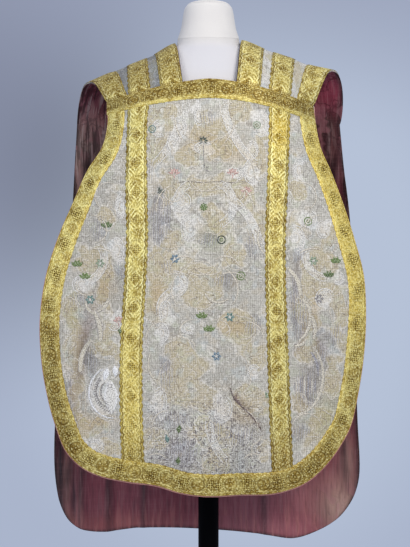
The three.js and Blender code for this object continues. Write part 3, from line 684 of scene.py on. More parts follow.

# %% Casts and ribbons
# Soft ovals that darken or tint the silk, by their tint: (x, z, half width, half height, lean).
# The first two groups, grey-mauve, and the last one are painted shade along folds; the brown
# one lies on the worn crease; the others tint or darken it here and there.
TINTS_AND_PAINTED_SHADE = {
    (0.74, 0.70, 0.71): [
        (-252, 802, 14, 52, 0.25), (-266, 716, 10, 44, 0.1), (-282, 668, 9, 44, -0.1),
        (180, 905, 9, 52), (150, 1060, 9, 90, 0.1), (226, 786, 9, 54, -0.3),
        (190, 790, 8, 44, 0.3),
    ],
    (0.70, 0.69, 0.69): [
        (-262, 752, 8, 40, 0.1), (-243, 748, 7, 18, 0.1), (176, 840, 7, 34, -0.2),
        (228, 764, 7, 16, -0.4),
    ],
    (0.93, 0.85, 0.74): [
        (-212, 898, 22, 30), (-240, 625, 44, 22), (222, 860, 8, 30), (-10, 1190, 44, 26),
        (60, 1170, 30, 24), (62, 640, 30, 30, -0.4), (-106, 880, 18, 40), (54, 816, 30, 22),
    ],
    (0.86, 0.86, 0.86): [
        (-187, 922, 7, 44, -0.3), (-262, 760, 26, 14), (-285, 640, 12, 36), (188, 610, 16, 30),
        (30, 912, 30, 18), (88, 820, 13, 34), (64, 560, 44, 50), (0, 520, 130, 24),
    ],
    (0.92, 0.93, 0.80): [(-278, 836, 14, 22), (250, 640, 26, 40), (10, 1000, 26, 26)],
    (0.86, 0.82, 0.83): [(204, 690, 26, 50, 0.1)],
    (0.88, 0.87, 0.92): [
        (240, 780, 10, 40, -0.2), (-96, 1042, 20, 58), (-86, 726, 13, 46), (-60, 560, 34, 40),
    ],
    (0.74, 0.69, 0.66): [(76, 649, 9, 46, -0.74)],
    (0.96, 0.95, 0.94): [(-232, 930, 60, 150)],
    (0.94, 0.93, 0.90): [(230, 640, 60, 110)],
    (0.82, 0.78, 0.78): [(-256, 790, 16, 62, 0.2)],
}
# Ribbons: (x, z, first radius, last radius, first angle, last angle).
RIBBONS = [
    (-250, 1330, 218, 234, -13, -52), (234, 1330, 218, 234, 193, 232),
    (-20, 1068, 52, 54, 115, 245), (4, 1068, 52, 54, 65, -65),
    (-70, 904, 26, 27, 95, -80), (-60, 850, 48, 46, 110, 190), (-60, 950, 174, 176, 48, 6),
    (120, 640, 128, 136, 187, 228), (250, 960, 60, 52, 150, 260), (-262, 960, 60, 52, -80, 30),
]
RIBBON_WIDTH = 14


def on_ribbons(x, z):
    """1 in the middle of a ribbon, by exp(-(distance from its arc / half its width)^2)."""
    total = np.zeros(len(x))
    for centre_x, centre_z, first, last, start, end in RIBBONS:
        angle = np.degrees(np.arctan2(z - centre_z, x - centre_x))
        past_middle = (angle - (start + end) / 2 + 180) % 360 - 180
        share = 0.5 + past_middle / (end - start)
        arc = lerp(first, last, share) - RIBBON_WIDTH / 2
        away = (np.hypot(x - centre_x, z - centre_z) - arc) / (RIBBON_WIDTH * 0.6)
        total += 1.1 * np.exp(-away**2) * smooth(1.5 - 3 * np.abs(share - 0.5))
    return total


def ground_weights(x, z):
    """How much of each colour a point has: over the ovals of a list, the sum of
    1.25 exp(-r^3), r^2 = dx^2 / half_width^2 + dz^2 / half_height^2, never more than 1. Slow
    waves bend x and z first, so that the ovals become lobed."""
    weights = []
    bent_x = x + 6 * np.sin(z / 15 + 1.4 * np.sin(x / 24)) + 3.5 * np.sin(z / 6.3 + x / 9)
    bent_z = z + 6 * np.sin(x / 14 + 1.6 * np.sin(z / 29)) + 3.5 * np.sin(x / 5.9 - z / 11)
    for colour, ovals in GROUNDS.items():
        total = on_ribbons(x, z) if colour == "white" else np.zeros(len(x))
        for centre_x, centre_z, half_width, half_height in ovals:
            reach = np.hypot((bent_x - centre_x) / half_width, (bent_z - centre_z) / half_height)
            total += 1.25 * np.exp(-(reach**3))
        weights.append(np.minimum(total, 1))
    return np.stack(weights, -1)


def soft_oval(x, z, centre_x, centre_z, half_width, half_height, lean=0):
    """exp(-(dx^2 / half_width^2 + dz^2 / half_height^2)), where dx leans with the height."""
    dz = z - centre_z
    dx = x - centre_x - lean * dz
    return np.exp(-((dx / half_width) ** 2) - (dz / half_height) ** 2)[:, None]


def tints_and_painted_shade(x, z):
    """The product over all ovals, tints and painted shade alike, of 1 - oval (1 - tint)."""
    tint = np.ones((len(x), 3))
    for colour, ovals in TINTS_AND_PAINTED_SHADE.items():
        for oval in ovals:
            tint *= 1 - soft_oval(x, z, *oval) * (1 - np.array(colour))
    return tint


# The front's pattern comes round again down the back, mirrored and a little wider.
PATTERN_REPEAT, PATTERN_START, PATTERN_SHIFT, PATTERN_SHARE = 780, 500, 60, 0.92


def repeated(uv):
    """Where a point of the back lies in the front's layout."""
    down = (uv[:, 1] - (PATTERN_START + PATTERN_SHIFT)) % PATTERN_REPEAT
    return -uv[:, 0] * PATTERN_SHARE, PATTERN_START + down


# %% [markdown]
# ## Writing finishes as sums
#
# Most of a finish is arithmetic on numbers that change over the surface. A small class wraps
# such a number and lets it be added, multiplied and compared with the usual signs. The same
# network drawn by hand would take hundreds of links.

# %% A number that changes over a surface
class Field:
    """Wraps a socket of a material. Each sign adds a Math node."""

    def __init__(self, finish, socket):
        self.finish, self.socket = finish, socket

    def apply(self, operation, *others):
        values = dict(enumerate((self,) + others))
        return self.finish.node("Math", {"operation": operation}, values)

    def __add__(self, other):
        return self.apply("ADD", other)

    def __sub__(self, other):
        return self.apply("SUBTRACT", other)

    def __rsub__(self, other):
        return self.finish.node("Math", {"operation": "SUBTRACT"}, {0: other, 1: self})

    def __mul__(self, other):
        return self.apply("MULTIPLY", other)

    __radd__, __rmul__ = __add__, __mul__

    def __abs__(self):
        return self.apply("ABSOLUTE")

    def sine(self, period):
        """The sine of a turn for each period."""
        return (self * (2 * math.pi / period)).apply("SINE")

    def wave(self, period):
        """Distance from the nearest whole number of periods, from 0 to period / 2."""
        return self.apply("PINGPONG", period / 2)

    def at_least(self, other):
        return self.apply("MAXIMUM", other)

    def at_most(self, other):
        return self.apply("MINIMUM", other)

    def step(self, low, high):
        """0 below low, 1 above high and smooth between; falling if low is the greater."""
        if low > high:
            return 1 - self.step(high, low)
        values = {"Value": self, "From Min": low, "From Max": high}
        return self.finish.node("MapRange", {"interpolation_type": "SMOOTHSTEP"}, values)

    def above(self, level, blur):
        """0 up to the level and 1 from level + blur on."""
        return (self - level).step(0, blur)

    def below(self, level, blur):
        """0 down to the level and 1 from level - blur on."""
        return (level - self).step(0, blur)

    def band(self, centre, half_width, blur):
        """1 within half_width of the centre, with soft edges."""
        return abs(self - centre).step(half_width + blur, half_width)


def strongest(first, *others):
    """The greatest of several fields, place by place."""
    for other in others:
        first = first.at_least(other)
    return first


def hypot(a, b):
    """The square root of a^2 + b^2."""
    return (a * a + b * b).apply("SQRT")


def srgb(red, green, blue):
    """A screen colour, 0 to 255, in the linear values that light is mixed in."""
    share = np.array([red, green, blue]) / 255
    linear = np.where(share <= 0.04045, share / 12.92, ((share + 0.055) / 1.055) ** 2.4)
    return (*(float(value) for value in linear), 1.0)


def rgb(colour):
    """The same without opacity, as points store it."""
    return np.array(srgb(*colour)[:3])


# %% [markdown]
# ## One way to make every finish
#
# Each finish starts from the Principled shader and gets all its nodes from one method. As a
# dyer lays one glaze over another, it has a first colour and then a list of glazes.

# %% A finish and its nodes
class Finish:
    """A material on the Principled shader, with a short way to add nodes."""

    def __init__(self, name, **values):
        self.material = bpy.data.materials.new(name)
        self.material.use_nodes = True
        self.tree = self.material.node_tree
        self.shader = self.tree.nodes["Principled BSDF"]
        for socket, value in values.items():
            self.shader.inputs[socket.replace("_", " ").title()].default_value = value

    def feed(self, socket, value):
        if isinstance(value, Field):
            self.tree.links.new(value.socket, socket)
        else:
            socket.default_value = value

    def node(self, kind, settings=None, values=None, output=0):
        """A node of any kind: its settings, its sockets' values or links, and one output."""
        node = self.tree.nodes.new("ShaderNode" + kind)
        for key, value in (settings or {}).items():
            setattr(node, key, value)
        for key, value in (values or {}).items():
            self.feed(node.inputs[key], value)
        return Field(self, node.outputs[output])

    def set(self, socket, value):
        self.feed(self.shader.inputs[socket], value)

    def mix(self, share, first, second, blend="MIX"):
        """A colour on the way from the first to the second. A Mix node keeps its two colours
        in sockets 6 and 7, and gives the mixed one at output 2."""
        settings = {"data_type": "RGBA", "blend_type": blend}
        return self.node("Mix", settings, {0: share, 6: first, 7: second}, 2)

    def glazed(self, colour, *glazes):
        """A colour under glazes that are laid in turn, each a share and a screen colour."""
        for share, glaze in glazes:
            colour = self.mix(share, colour, srgb(*glaze))
        return colour

    def scaled(self, vector, x=1, y=1, z=1):
        settings = {"operation": "MULTIPLY"}
        return self.node("VectorMath", settings, {0: vector, 1: (x, y, z)})

    def noise(self, vector, scale, detail=2, roughness=0.5, distortion=0):
        """Noise with about scale waves to a metre. A pair of scales draws it out one way."""
        if isinstance(scale, tuple):
            vector, scale = self.scaled(vector, *scale), 1
        return self.node("TexNoise", None, {
            "Vector": vector, "Scale": scale, "Detail": detail, "Roughness": roughness,
            "Distortion": distortion,
        })

    def parts(self, vector, *which):
        return [self.node("SeparateXYZ", None, {0: vector}, k) for k in which]

    def bump(self, height, strength, distance):
        """Feeds a height into the normal; distance is its depth in metres at height 1."""
        values = {"Height": height, "Strength": strength, "Distance": distance}
        self.set("Normal", self.node("Bump", None, values))

    def cloth(self):
        """The piece's own flat coordinates, whole and apart, the latter in millimetres."""
        flat = self.node("UVMap", {"uv_map": "cloth"})
        return flat, *self.parts(self.scaled(flat, 1000, 1000, 1000), 0, 1)

    def attribute(self, name):
        return self.node("Attribute", {"attribute_name": name})

    def done(self):
        print(f"{self.material.name}: {len(self.tree.nodes)} nodes")
        return self.material


# %% [markdown]
# ## Lampas
#
# The ground is a silver-grey rep, and tan and white wefts float over it in large loose areas
# with frayed edges. Fine cords follow the edges and run through the areas as scrolls, which
# are level lines of one slow noise. The rep has a rib about every four millimetres both ways,
# and its threads catch the light one by one. All of this is finer than a mesh could hold, so
# it is colour and bump.

# %% Finish: lampas
RIB = 4.3


def make_lampas():
    lampas = Finish("lampas", sheen_weight=0.06, sheen_roughness=0.4)
    flat, u, v = lampas.cloth()
    tan, white, shade = lampas.parts(lampas.attribute("grounds"), 0, 1, 2)
    drift = lampas.noise(flat, 14, 1, 0.5, 0.8)
    ragged, frayed = lampas.noise(flat, 60, 3, 0.6), lampas.noise(flat, 210, 2, 0.6)
    rough_edge = (ragged - 0.5) * 0.5 + (frayed - 0.5) * 0.2
    tan_level = tan * 0.85 + (drift - 0.5) * 2 + rough_edge
    white_level = white + (drift - 0.5) * -0.8 + (ragged - 0.5) * 0.4 + (frayed - 0.5) * 0.3
    tan = tan_level.step(0.12, 0.42)
    white = white_level.step(0.36, 0.64)
    shade = (shade + rough_edge * 0.8).step(0.2, 0.9)

    level = (lampas.noise(flat, 22, 0.3, 0.3, 1.2) * 8).apply("FRACT")
    beads = frayed.step(0.4, 0.56)
    cord = level.band(0.5, 0.05, 0.07) * beads
    shadow_line = level.band(0.68, 0.03, 0.06)
    edging = tan_level.band(0.24, 0.05, 0.06) * beads
    vermicelli = (lampas.noise(flat, 64, 1.6) * 7).apply("FRACT")
    lower = v.step(740, 590) * abs(u + 8).step(124, 112) * (beads * 0.7 + 0.3)
    furrow = vermicelli.band(0.5, 0.06, 0.16) * (0.16 + lower * 0.84)
    ridge = vermicelli.band(0.8, 0.05, 0.12) * (0.12 + lower * 0.6)
    to_edge = {"feature": "DISTANCE_TO_EDGE"}
    net = lampas.node("TexVoronoi", to_edge, {"Vector": flat, "Scale": 150}).step(0.03, 0.25)
    wobble = (ragged - 0.5) * 5
    warp_ribs, weft_ribs = (u + wobble).sine(RIB), (v + wobble).sine(RIB * 1.1)
    ribs = (warp_ribs * 0.5 + 0.5) * 0.6 + (weft_ribs * 0.5 + 0.5) * 0.4
    upright, level_threads = lampas.noise(flat, (430, 110), 1), lampas.noise(flat, (110, 430), 1)
    speck, age = lampas.noise(flat, 460, 1), lampas.noise(flat, 9, 3, 0.55)
    warm, cool = lampas.noise(flat, 31), lampas.noise(flat, (36, 27))
    grain_and_glints = upright * 0.4 + level_threads * 0.3 + speck * 0.3 + (ribs - 0.5) * 0.17

    colour = lampas.glazed(
        lampas.mix(age.step(0.35, 0.65), srgb(182, 178, 165), srgb(167, 163, 150)),
        (shade * 0.6, (134, 131, 125)),
        (tan * 0.78, (188, 174, 136)),
        (white * (0.5 + 0.4 * net), (231, 228, 220)),
        (warm.above(0.54, 0.12) * 0.3, (200, 184, 154)),
        (warm.below(0.46, 0.12) * 0.3, (190, 196, 164)),
        (cool.above(0.56, 0.1) * 0.3, (182, 196, 200)),
        (cord * 0.6, (230, 225, 213)),
        (shadow_line * 0.5, (124, 117, 110)),
        (edging * 0.6, (226, 221, 210)),
        (furrow, (100, 93, 94)),
        (ridge, (226, 224, 218)),
        # Painted glints and painted shade of single threads, over the ribs of the weave.
        (grain_and_glints.above(0.5, 0.12) * 0.34, (238, 234, 224)),
        (grain_and_glints.below(0.5, 0.12) * 0.38, (112, 104, 94)),
    )
    # The points' tints, with painted shade along folds, multiply the colour.
    lampas.set("Base Color", lampas.mix(1, colour, lampas.attribute("casts"), "MULTIPLY"))
    lampas.set("Roughness", 0.74 - white * 0.12)
    height = net * white * 0.2 + cord * 0.6 - shadow_line * 0.4 + grain_and_glints * 1.4 + tan * 0.25
    lampas.bump(height + ridge * 0.8 - furrow * 0.8, 0.5, 0.0007)
    return lampas.done()


lampas = make_lampas()

# %% [markdown]
# ## Lining silk
#
# The lining is thin burgundy silk, faded where light and wear reached it. The faded places are
# stored in the mesh's points, while streaks, gathers and fine creases are noises drawn out
# along the cloth, because only narrow strips of it show. These are painted shade and painted
# highlights of folds that the mesh doesn't have.

# %% Finish: lining silk
def make_lining():
    silk = Finish(
        "burgundy silk", roughness=0.5, sheen_weight=0.1, sheen_roughness=0.35,
        sheen_tint=srgb(220, 150, 150),
    )
    flat, u, v = silk.cloth()
    shaded_fold_streaks, fine = silk.noise(flat, (55, 2.6), 3, 0.6), silk.noise(flat, (240, 24))
    sag = silk.noise(flat, (18, 0.9), 1)
    wrinkle = sag.band(0.5, 0.002, 0.01) * silk.noise(flat, 12, 1).step(0.42, 0.6)
    gathers = silk.noise(flat, (120, 12), 1)
    pucker = gathers.step(0.54, 0.64) * v.step(430, 350)
    crumple = silk.noise(flat, (34, 26))
    crumpled = v.step(1120, 1230).at_least(v.step(480, 420) * u.step(200, 270) * 0.7)
    crumple_line = crumple.band(0.5, 0, 0.04) * crumpled
    pleat, crease = silk.noise(flat, (75, 9), 1.5) - 0.5, silk.noise(flat, (190, 11), 1.5) - 0.5
    upper = v.step(900, 1100) * (u.step(100, -100) * 0.9 + 0.1)
    calm = v.step(400, 620) * 0.6 + 0.4
    folded = pleat.below(-0.06, 0.06) * (upper * 0.6 + 0.12)
    dark = strongest(wrinkle, pucker * 0.6, crumple_line * 0.5, folded) * calm
    dark = dark.at_least(crease.below(-0.07, 0.04) * (upper * 0.8 + 0.15))
    streak_shade = shaded_fold_streaks.step(0.52, 0.74) * calm * 0.45
    # Painted into the colour: the streaks, wrinkles, puckers, crumples, pleats and creases are
    # painted shade of folds, and the lighter gathers, crumples, pleats and creases are painted
    # highlights beside them.
    colour = silk.glazed(
        silk.mix(streak_shade, silk.attribute("tone"), srgb(150, 124, 128), "MULTIPLY"),
        (silk.noise(flat, (14, 210), 1).above(0.5, 0.1) * 0.04, (190, 130, 132)),
        (fine.above(0.5, 0.2) * 0.16, (188, 128, 128)),
        (gathers.step(0.46, 0.38) * v.step(430, 360) * 0.45, (186, 116, 110)),
        (fine.below(0.5, 0.2) * 0.28, (60, 26, 34)),
        ((crumple - 0.5).step(0.02, 0.1) * crumpled * 0.3, (190, 120, 130)),
        (pleat.above(0.06, 0.06) * upper * 0.4, (186, 140, 136)),
        (crease.above(0.06, 0.05) * (upper * 0.62 + 0.08), (180, 154, 150)),
        (dark * 0.75, (42, 18, 24)),
    )
    silk.set("Base Color", colour)
    silk.bump(shaded_fold_streaks * 1.2 + fine * 0.5 - dark * 0.8, 0.5, 0.002)
    return silk.done()


lining_silk = make_lining()

# %% [markdown]
# ## Brocading threads
#
# The raised outlines and small flowers are loose silk in many colours. Each shape stores its
# own colour, so one finish serves them all and only adds painted shade in the gaps between
# the strands and painted highlights on their tops.

# %% Finish: brocading threads
def make_threads():
    silk = Finish("brocading threads", roughness=0.5, sheen_weight=0.1)
    flat, *_ = silk.cloth()
    strand = silk.noise(flat, 420)
    # Painted shade in the gaps between strands, and painted highlights on their tops.
    tone, gap = silk.attribute("tone"), strand.below(0.5, 0.14) * 0.75
    colour = silk.glazed(
        silk.mix(gap, tone, srgb(120, 112, 104), "MULTIPLY"),
        (strand.above(0.52, 0.14) * 0.4, (248, 245, 236)),
    )
    silk.set("Base Color", colour)
    silk.bump(strand, 0.6, 0.0006)
    return silk.done()


thread_silk = make_threads()

# %% [markdown]
# ## Gold galloon
#
# Galloon is a narrow braid of gilt metal thread on a yellow silk core. Its threads glint or
# lie in shadow one by one, and its gilding is worn. Two kinds are used here, and these last
# layers are the same on both.

# %% Gilt threads
DIAMOND_REPEAT, ROSETTE_REPEAT = 60, 67
SCALLOP = 14.2


def new_galloon(name, repeat):
    """A gilt finish, the place on the braid, and the distances from its middle line and from
    the middle of the nearest motif."""
    gold = Finish(name, metallic=0.25, specular_tint=srgb(255, 216, 120))
    flat, u, v = gold.cloth()
    return gold, flat, u, v, abs(v), u.wave(repeat)


def chequer(u, v, size):
    """Squares that stand on a corner: the sine of u + v times the sine of u - v."""
    return (u + v).sine(size) * (u - v).sine(size)


def gold_threads(gold, flat, colour, dark, glint):
    """The last layers of both braids: painted glints and painted shadow of single threads,
    tarnished gilding with painted shade, painted highlights, and relief.
    """
    grain_and_glints = gold.noise(flat, (200, 430), 1) * 0.45 + gold.noise(flat, 380, 2, 0.6) * 0.55
    worn, lace = gold.noise(flat, 40), gold.noise(flat, 105, 2, 0.6)
    tarnish_and_painted_light, warm, painted_highlight = gold.parts(gold.attribute("tarnish_and_painted_light"), 0, 1, 2)
    mottled = 0.3 + tarnish_and_painted_light * 0.25
    dark = dark * (0.75 + (worn - 0.5) * -1.8).at_least(0.35).at_most(1)
    colour = gold.glazed(
        colour,
        (worn.above(0.5, 0.12) * 0.6 * (1 - dark), (250, 238, 150)),
        (worn.below(0.5, 0.14) * 0.6, (150, 122, 44)),
        (warm * 0.6, (222, 182, 34)),
        # From the braid's points: painted highlights, and tarnished gilding with painted shade.
        (painted_highlight * 0.45, (244, 214, 100)),
        ((lace - 0.5).step(0.02, 0.1) * mottled, (250, 238, 156)),
        (tarnish_and_painted_light * 0.55, (136, 108, 40)),
        (lace.below(0.49, 0.09) * mottled, (92, 70, 24)),
        # Painted shadow and painted glints of single threads.
        (grain_and_glints.below(0.5, 0.1) * 0.55, (108, 86, 28)),
        ((grain_and_glints - 0.5).step(0.005, 0.1) * glint * (1 - dark), (255, 248, 184)),
        (dark, (76, 56, 18)),
    )
    gold.set("Base Color", colour)
    gold.set("Roughness", 0.56 - grain_and_glints * 0.12)
    gold.bump((1 - dark) * 0.9 + grain_and_glints * 1.2 + lace, 0.7, 0.0009)
    return gold.done()


# %% [markdown]
# ### Braid with diamonds
#
# The uprights, the straps and the back have a braid with chequered diamonds between zigzags
# and scalloped edges. Its short repeat is drawn from distances along and across the braid.

# %% Finish: diamond galloon
def make_diamond_galloon():
    gold, flat, u, v, across, along = new_galloon("diamond galloon", DIAMOND_REPEAT)
    reach = along + across * 1.15
    between = (DIAMOND_REPEAT / 2 - along) + across * 1.15
    diamond, lattice = reach.step(14.5, 12.5), between.step(15, 12)
    outside = (1 - diamond) * (1 - lattice)
    broken = gold.noise(flat, 95, 1).step(0.4, 0.58)
    chevron = reach.sine(9.6)
    wavy = across - abs(u.sine(SCALLOP * 2)) * 2.4
    bright_line = wavy.band(14.2, 1, 0.9)
    dark = strongest(
        diamond * chequer(u, v, 7.6).step(0, 0.35) * 0.95,
        chevron.step(0.1, 0.8) * outside * broken * 0.55,
        lattice * chequer(u, v, 5.2).step(0, 0.4) * 0.35,
        wavy.band(16.4, 0.7, 0.9) * 0.85,
        # Painted shadow along the braid's outer edges.
        across.step(20, 23) * 0.75,
    )
    colour = gold.glazed(
        gold.mix(diamond * 0.7, srgb(200, 180, 84), srgb(184, 160, 70)),
        (chevron.step(-0.1, -0.8) * outside * (0.35 + broken * 0.65), (252, 249, 184)),
        (wavy.step(15.2, 16.4) * 0.8, (160, 140, 56)),
        (bright_line * 0.8, (255, 250, 190)),
        # A painted highlight along the middle of the braid, where it bulges.
        (across.step(14, 5) * 0.14, (250, 236, 160)),
    )
    return gold_threads(gold, flat, colour, dark * (1 - bright_line * 0.8), 0.62)


DIAMONDS = make_diamond_galloon(), "diamond_galloon"

# %% [markdown]
# ### Braid with rosettes
#
# The chest and the edge of the front have a braid with rosettes, small dotted diamonds and a
# wavy stem with leaves. Rings and rays are level lines of the distance and the angle from the
# middle of a rosette.

# %% Finish: rosette galloon
def make_rosette_galloon():
    gold, flat, u, v, across, along = new_galloon("rosette galloon", ROSETTE_REPEAT)
    tarnish_and_painted_light = gold.parts(gold.attribute("tarnish_and_painted_light"), 0)[0]
    radius, between = hypot(along, across), ROSETTE_REPEAT / 2 - along
    rays = (across.apply("ARCTAN2", along) * 8).apply("COSINE").step(0, 0.5)
    wheel = strongest(
        radius.band(12.5, 0.8, 1.7),
        radius.band(3.6, 0.8, 0.8) * 0.9,
        rays * radius.band(8, 2.6, 0.9) * 0.6,
    )
    reach, eye, squares = between + across, hypot(between, across), chequer(u, v, 9)
    diamond = reach.step(17.5, 15)
    swag = across + (along * (2 * math.pi / ROSETTE_REPEAT)).apply("COSINE") * 3
    vine = (swag + u.sine(8) * 1.6).band(12.6, 1, 1) * radius.step(13, 15)
    leaf = (u.wave(8) + (swag - 9).wave(6)).step(4, 2.6) * radius.step(15, 17) * across.step(13, 10)
    shown = 0.3 + tarnish_and_painted_light * 0.4
    dark = strongest(
        wheel * (0.25 + tarnish_and_painted_light * 0.5),
        diamond * squares.step(0, 0.3) * eye.step(3, 4) * 1.1,
        eye.band(3.4, 0.9, 0.8) * 0.9,
        vine * shown,
        across.band(18.4, 0.7, 0.9) * 0.5,
        leaf * (1 - diamond) * shown,
        # Painted shadow along the braid's outer edges.
        across.step(20.5, 22.5) * 0.75,
        reach.band(17.5, 0.9, 0.8) * 0.6,
    )
    disc = radius.step(13, 11) * (0.15 + tarnish_and_painted_light * 0.85)
    loops = strongest(
        squares.step(-0.1, -0.5) * (1 - disc) * across.step(17, 15) * 0.7,
        radius.band(15.4, 0.7, 0.8),
        reach.band(20, 0.6, 0.8),
    )
    bright_side = v.step(7, 15)
    colour = gold.glazed(
        gold.mix(disc, srgb(212, 190, 94), srgb(182, 156, 70)),
        (across.step(16, 18) * 0.5, (190, 160, 62)),
        (loops * 0.75, (255, 247, 172)),
        (bright_side * 0.4, (240, 218, 118)),
    )
    return gold_threads(gold, flat, colour, dark * (1 - bright_side * 0.55), 0.6)


ROSETTES = make_rosette_galloon(), "rosette_galloon"

# %% [markdown]
# ## Jersey and black paint
#
# The form is covered in fine white jersey, whose wales and courses are two sine waves in the
# bump. The stand is enamelled black, with a little dust.

# %% Finish: jersey and black paint
WALE, COURSE = 1.3, 1


def make_jersey():
    jersey = Finish("white jersey", roughness=0.85, sheen_weight=0.15, sheen_roughness=0.5)
    flat, u, v = jersey.cloth()
    wales = u.sine(WALE) * 0.5 + 0.5
    courses = (v + u.wave(WALE) * 0.8).sine(COURSE) * 0.5 + 0.5
    lint, soft = jersey.noise(flat, 420), jersey.noise(flat, 8, 3)
    colour = jersey.glazed(
        jersey.mix(soft.step(0.3, 0.7), srgb(222, 218, 212), srgb(214, 210, 205)),
        # Painted shade on the form's upper chest, inside the neck opening.
        (v.step(540, 640) * v.step(778, 730), (210, 208, 209)),
        (lint.below(0.5, 0.2) * 0.12, (190, 188, 192)),
    )
    jersey.set("Base Color", colour)
    jersey.bump(wales * 0.4 + courses * 0.3 + lint * 0.5, 0.3, 0.0004)
    return jersey.done()


def make_black_paint():
    paint = Finish("black paint")
    paint.shader.inputs["Specular IOR Level"].default_value = 0.03
    place = paint.node("TexCoord", output="Object")
    dust, peel = paint.noise(place, 35, 4, 0.6), paint.noise(place, 700)
    paint.set("Base Color", paint.mix(dust.step(0.45, 0.75) * 0.4, srgb(1, 1, 3), srgb(5, 5, 7)))
    paint.set("Roughness", dust * 0.2 + 0.4)
    paint.bump(peel, 0.15, 0.0003)
    return paint.done()


jersey, black_paint = make_jersey(), make_black_paint()

# %% [markdown]
# ## Panels
#
# The panels are walls two millimetres thick, lampas over a stiff interlining. Each point also
# gets its share of the ornament's colours, which a finish can read without any image.

# %% Build the panels
def panel_piece(name, cloth, layer, finish, slot, **colours):
    """A closed layer of cloth; colours are the point colours its finish reads, by title."""
    points, normals, faces, uv = cloth
    both, closed = wall(points, normals, faces, *layer)
    colours = {title: double(values) for title, values in colours.items()}
    piece = new_piece(name, both, closed, finish, slot, double(uv), colours)
    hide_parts(name)
    return piece


front_points, back_points = front_cloth(4.8), back_cloth(5.2)
front_flat, back_flat = front_points[3], back_points[3]
front_panel = panel_piece(
    "front_panel", front_points, PANEL, lampas, "lampas",
    grounds=ground_weights(*front_flat.T), casts=tints_and_painted_shade(*front_flat.T),
)

# The straps are plainer than the rest. The left one is much darker than the right one, with
# painted shade from more grey ground and a dark bluish tint; the right one has more white
# ground and a lighter tint, as painted light.
STRAP_START, STRAP_BLEND = 1380, 40
on_straps = smooth((back_flat[:, 1] - STRAP_START) / STRAP_BLEND)[:, None]
on_the_left = back_flat[:, :1] < 0
strap_lit_and_shaded_ground = np.where(on_the_left, [[0.1, 0.1, 1]], [[0.3, 0.5, 0.6]])
strap_painted_shade = np.where(on_the_left, [[0.52, 0.55, 0.60]], [[0.90, 0.91, 0.92]])
back_panel = panel_piece(
    "back_panel", back_points, PANEL, lampas, "lampas",
    grounds=lerp(ground_weights(*repeated(back_flat)), strap_lit_and_shaded_ground, on_straps),
    casts=lerp(tints_and_painted_shade(*repeated(back_flat)), strap_painted_shade, on_straps),
)

# %% [markdown]
# ## Linings
#
# Each lining is a little larger than its panel, so that it shows at the edge. Where the silk
# of the back has faded or darkened, and its painted highlights and painted shade, are again a
# list of soft ovals, this time of colours.

# %% Build the linings
# Where the silk has faded or darkened with age, and painted highlights and painted shade of
# its folds and along its shadowed side edges: (x, z, half width, half height, colour).
BACK_SILK_AGE_AND_LIGHT = [
    (-262, 1316, 40, 44, (122, 50, 66)), (-269, 1200, 54, 84, (166, 136, 126)),
    (-292, 1080, 36, 76, (158, 132, 120)), (-322, 452, 20, 80, (110, 74, 62)),
    (-306, 370, 30, 26, (164, 110, 88)), (-262, 412, 60, 60, (134, 62, 72)),
    (-90, 400, 70, 50, (130, 54, 66)), (96, 398, 76, 60, (156, 82, 90)),
    (236, 424, 66, 60, (166, 98, 100)), (296, 400, 46, 64, (186, 146, 128)),
    (312, 500, 18, 70, (160, 118, 106)), (268, 1340, 40, 44, (160, 62, 82)),
    (298, 1352, 9, 34, (214, 150, 160)), (262, 1256, 44, 46, (60, 32, 30)),
    (270, 1180, 26, 60, (96, 58, 56)), (306, 1140, 12, 90, (26, 17, 16)),
    (322, 700, 9, 70, (40, 26, 28)), (-304, 1190, 7, 200, (84, 64, 64)),
    (-240, 1120, 20, 60, (90, 60, 62)), (-200, 356, 110, 24, (164, 88, 86)),
    (120, 348, 140, 26, (172, 98, 104)), (306, 392, 34, 30, (190, 152, 136)),
    (-329, 500, 6, 110, (26, 15, 18)), (-315, 450, 5, 70, (164, 116, 106)),
    (-301, 430, 5, 60, (64, 28, 36)), (-288, 400, 6, 50, (154, 100, 98)),
]
SILK, FOLD_SHADE = (124, 52, 64), (36, 16, 20)
# The front's edge colour is the pink of the turned edge; the back's is painted shadow along its
# border.
FRONT_EDGE, BACK_EDGE_SHADOW = (214, 152, 136), (38, 22, 24)


def silk_tone(cloth, patches, creases, edge):
    """Each patch draws the colour towards its own by a soft oval; narrow folds get painted shade,
    and the border has its edge colour, which the points next to it share in part: the pink of
    the turned edge in front, painted shadow behind."""
    faces, (x, z) = cloth[2], cloth[3].T
    tone = np.tile(rgb(SILK), (len(x), 1))
    for *oval, colour in patches:
        tone = lerp(tone, rgb(colour), soft_oval(x, z, *oval))
    narrow = [crease[:5] + (max(7, crease[5] * 0.7), 1) for crease in creases if crease[5] < 10]
    in_folds = np.minimum(crease_height(narrow, x, z), 1)
    tone = lerp(tone, rgb(FOLD_SHADE), in_folds[:, None] * 0.72)
    rim = np.unique(border(faces))
    beside = np.unique(faces[np.isin(faces, rim).any(axis=1)])
    tone[beside] = lerp(tone[beside], rgb(edge), 0.4)
    tone[rim] = rgb(edge)
    return tone


front_silk, back_silk = front_cloth(6, 3), back_cloth(5.4, 1.2)
front_lining = panel_piece(
    "front_lining", front_silk, LINING, lining_silk, "lining",
    tone=silk_tone(front_silk, [], front_creases, FRONT_EDGE),
)
back_lining = panel_piece(
    "back_lining", back_silk, LINING, lining_silk, "lining",
    tone=silk_tone(back_silk, BACK_SILK_AGE_AND_LIGHT, back_creases, BACK_EDGE_SHADOW),
)

# %% [markdown]
# ## Raised threads
#
# The outlines of the flowers and shells are cords of white and grey silk. Each is a narrow
# strip along a path, highest in the middle, with its foot in the cloth. A path is a curve in
# polar form, so flowers, spirals, arcs and rings all come from one formula.

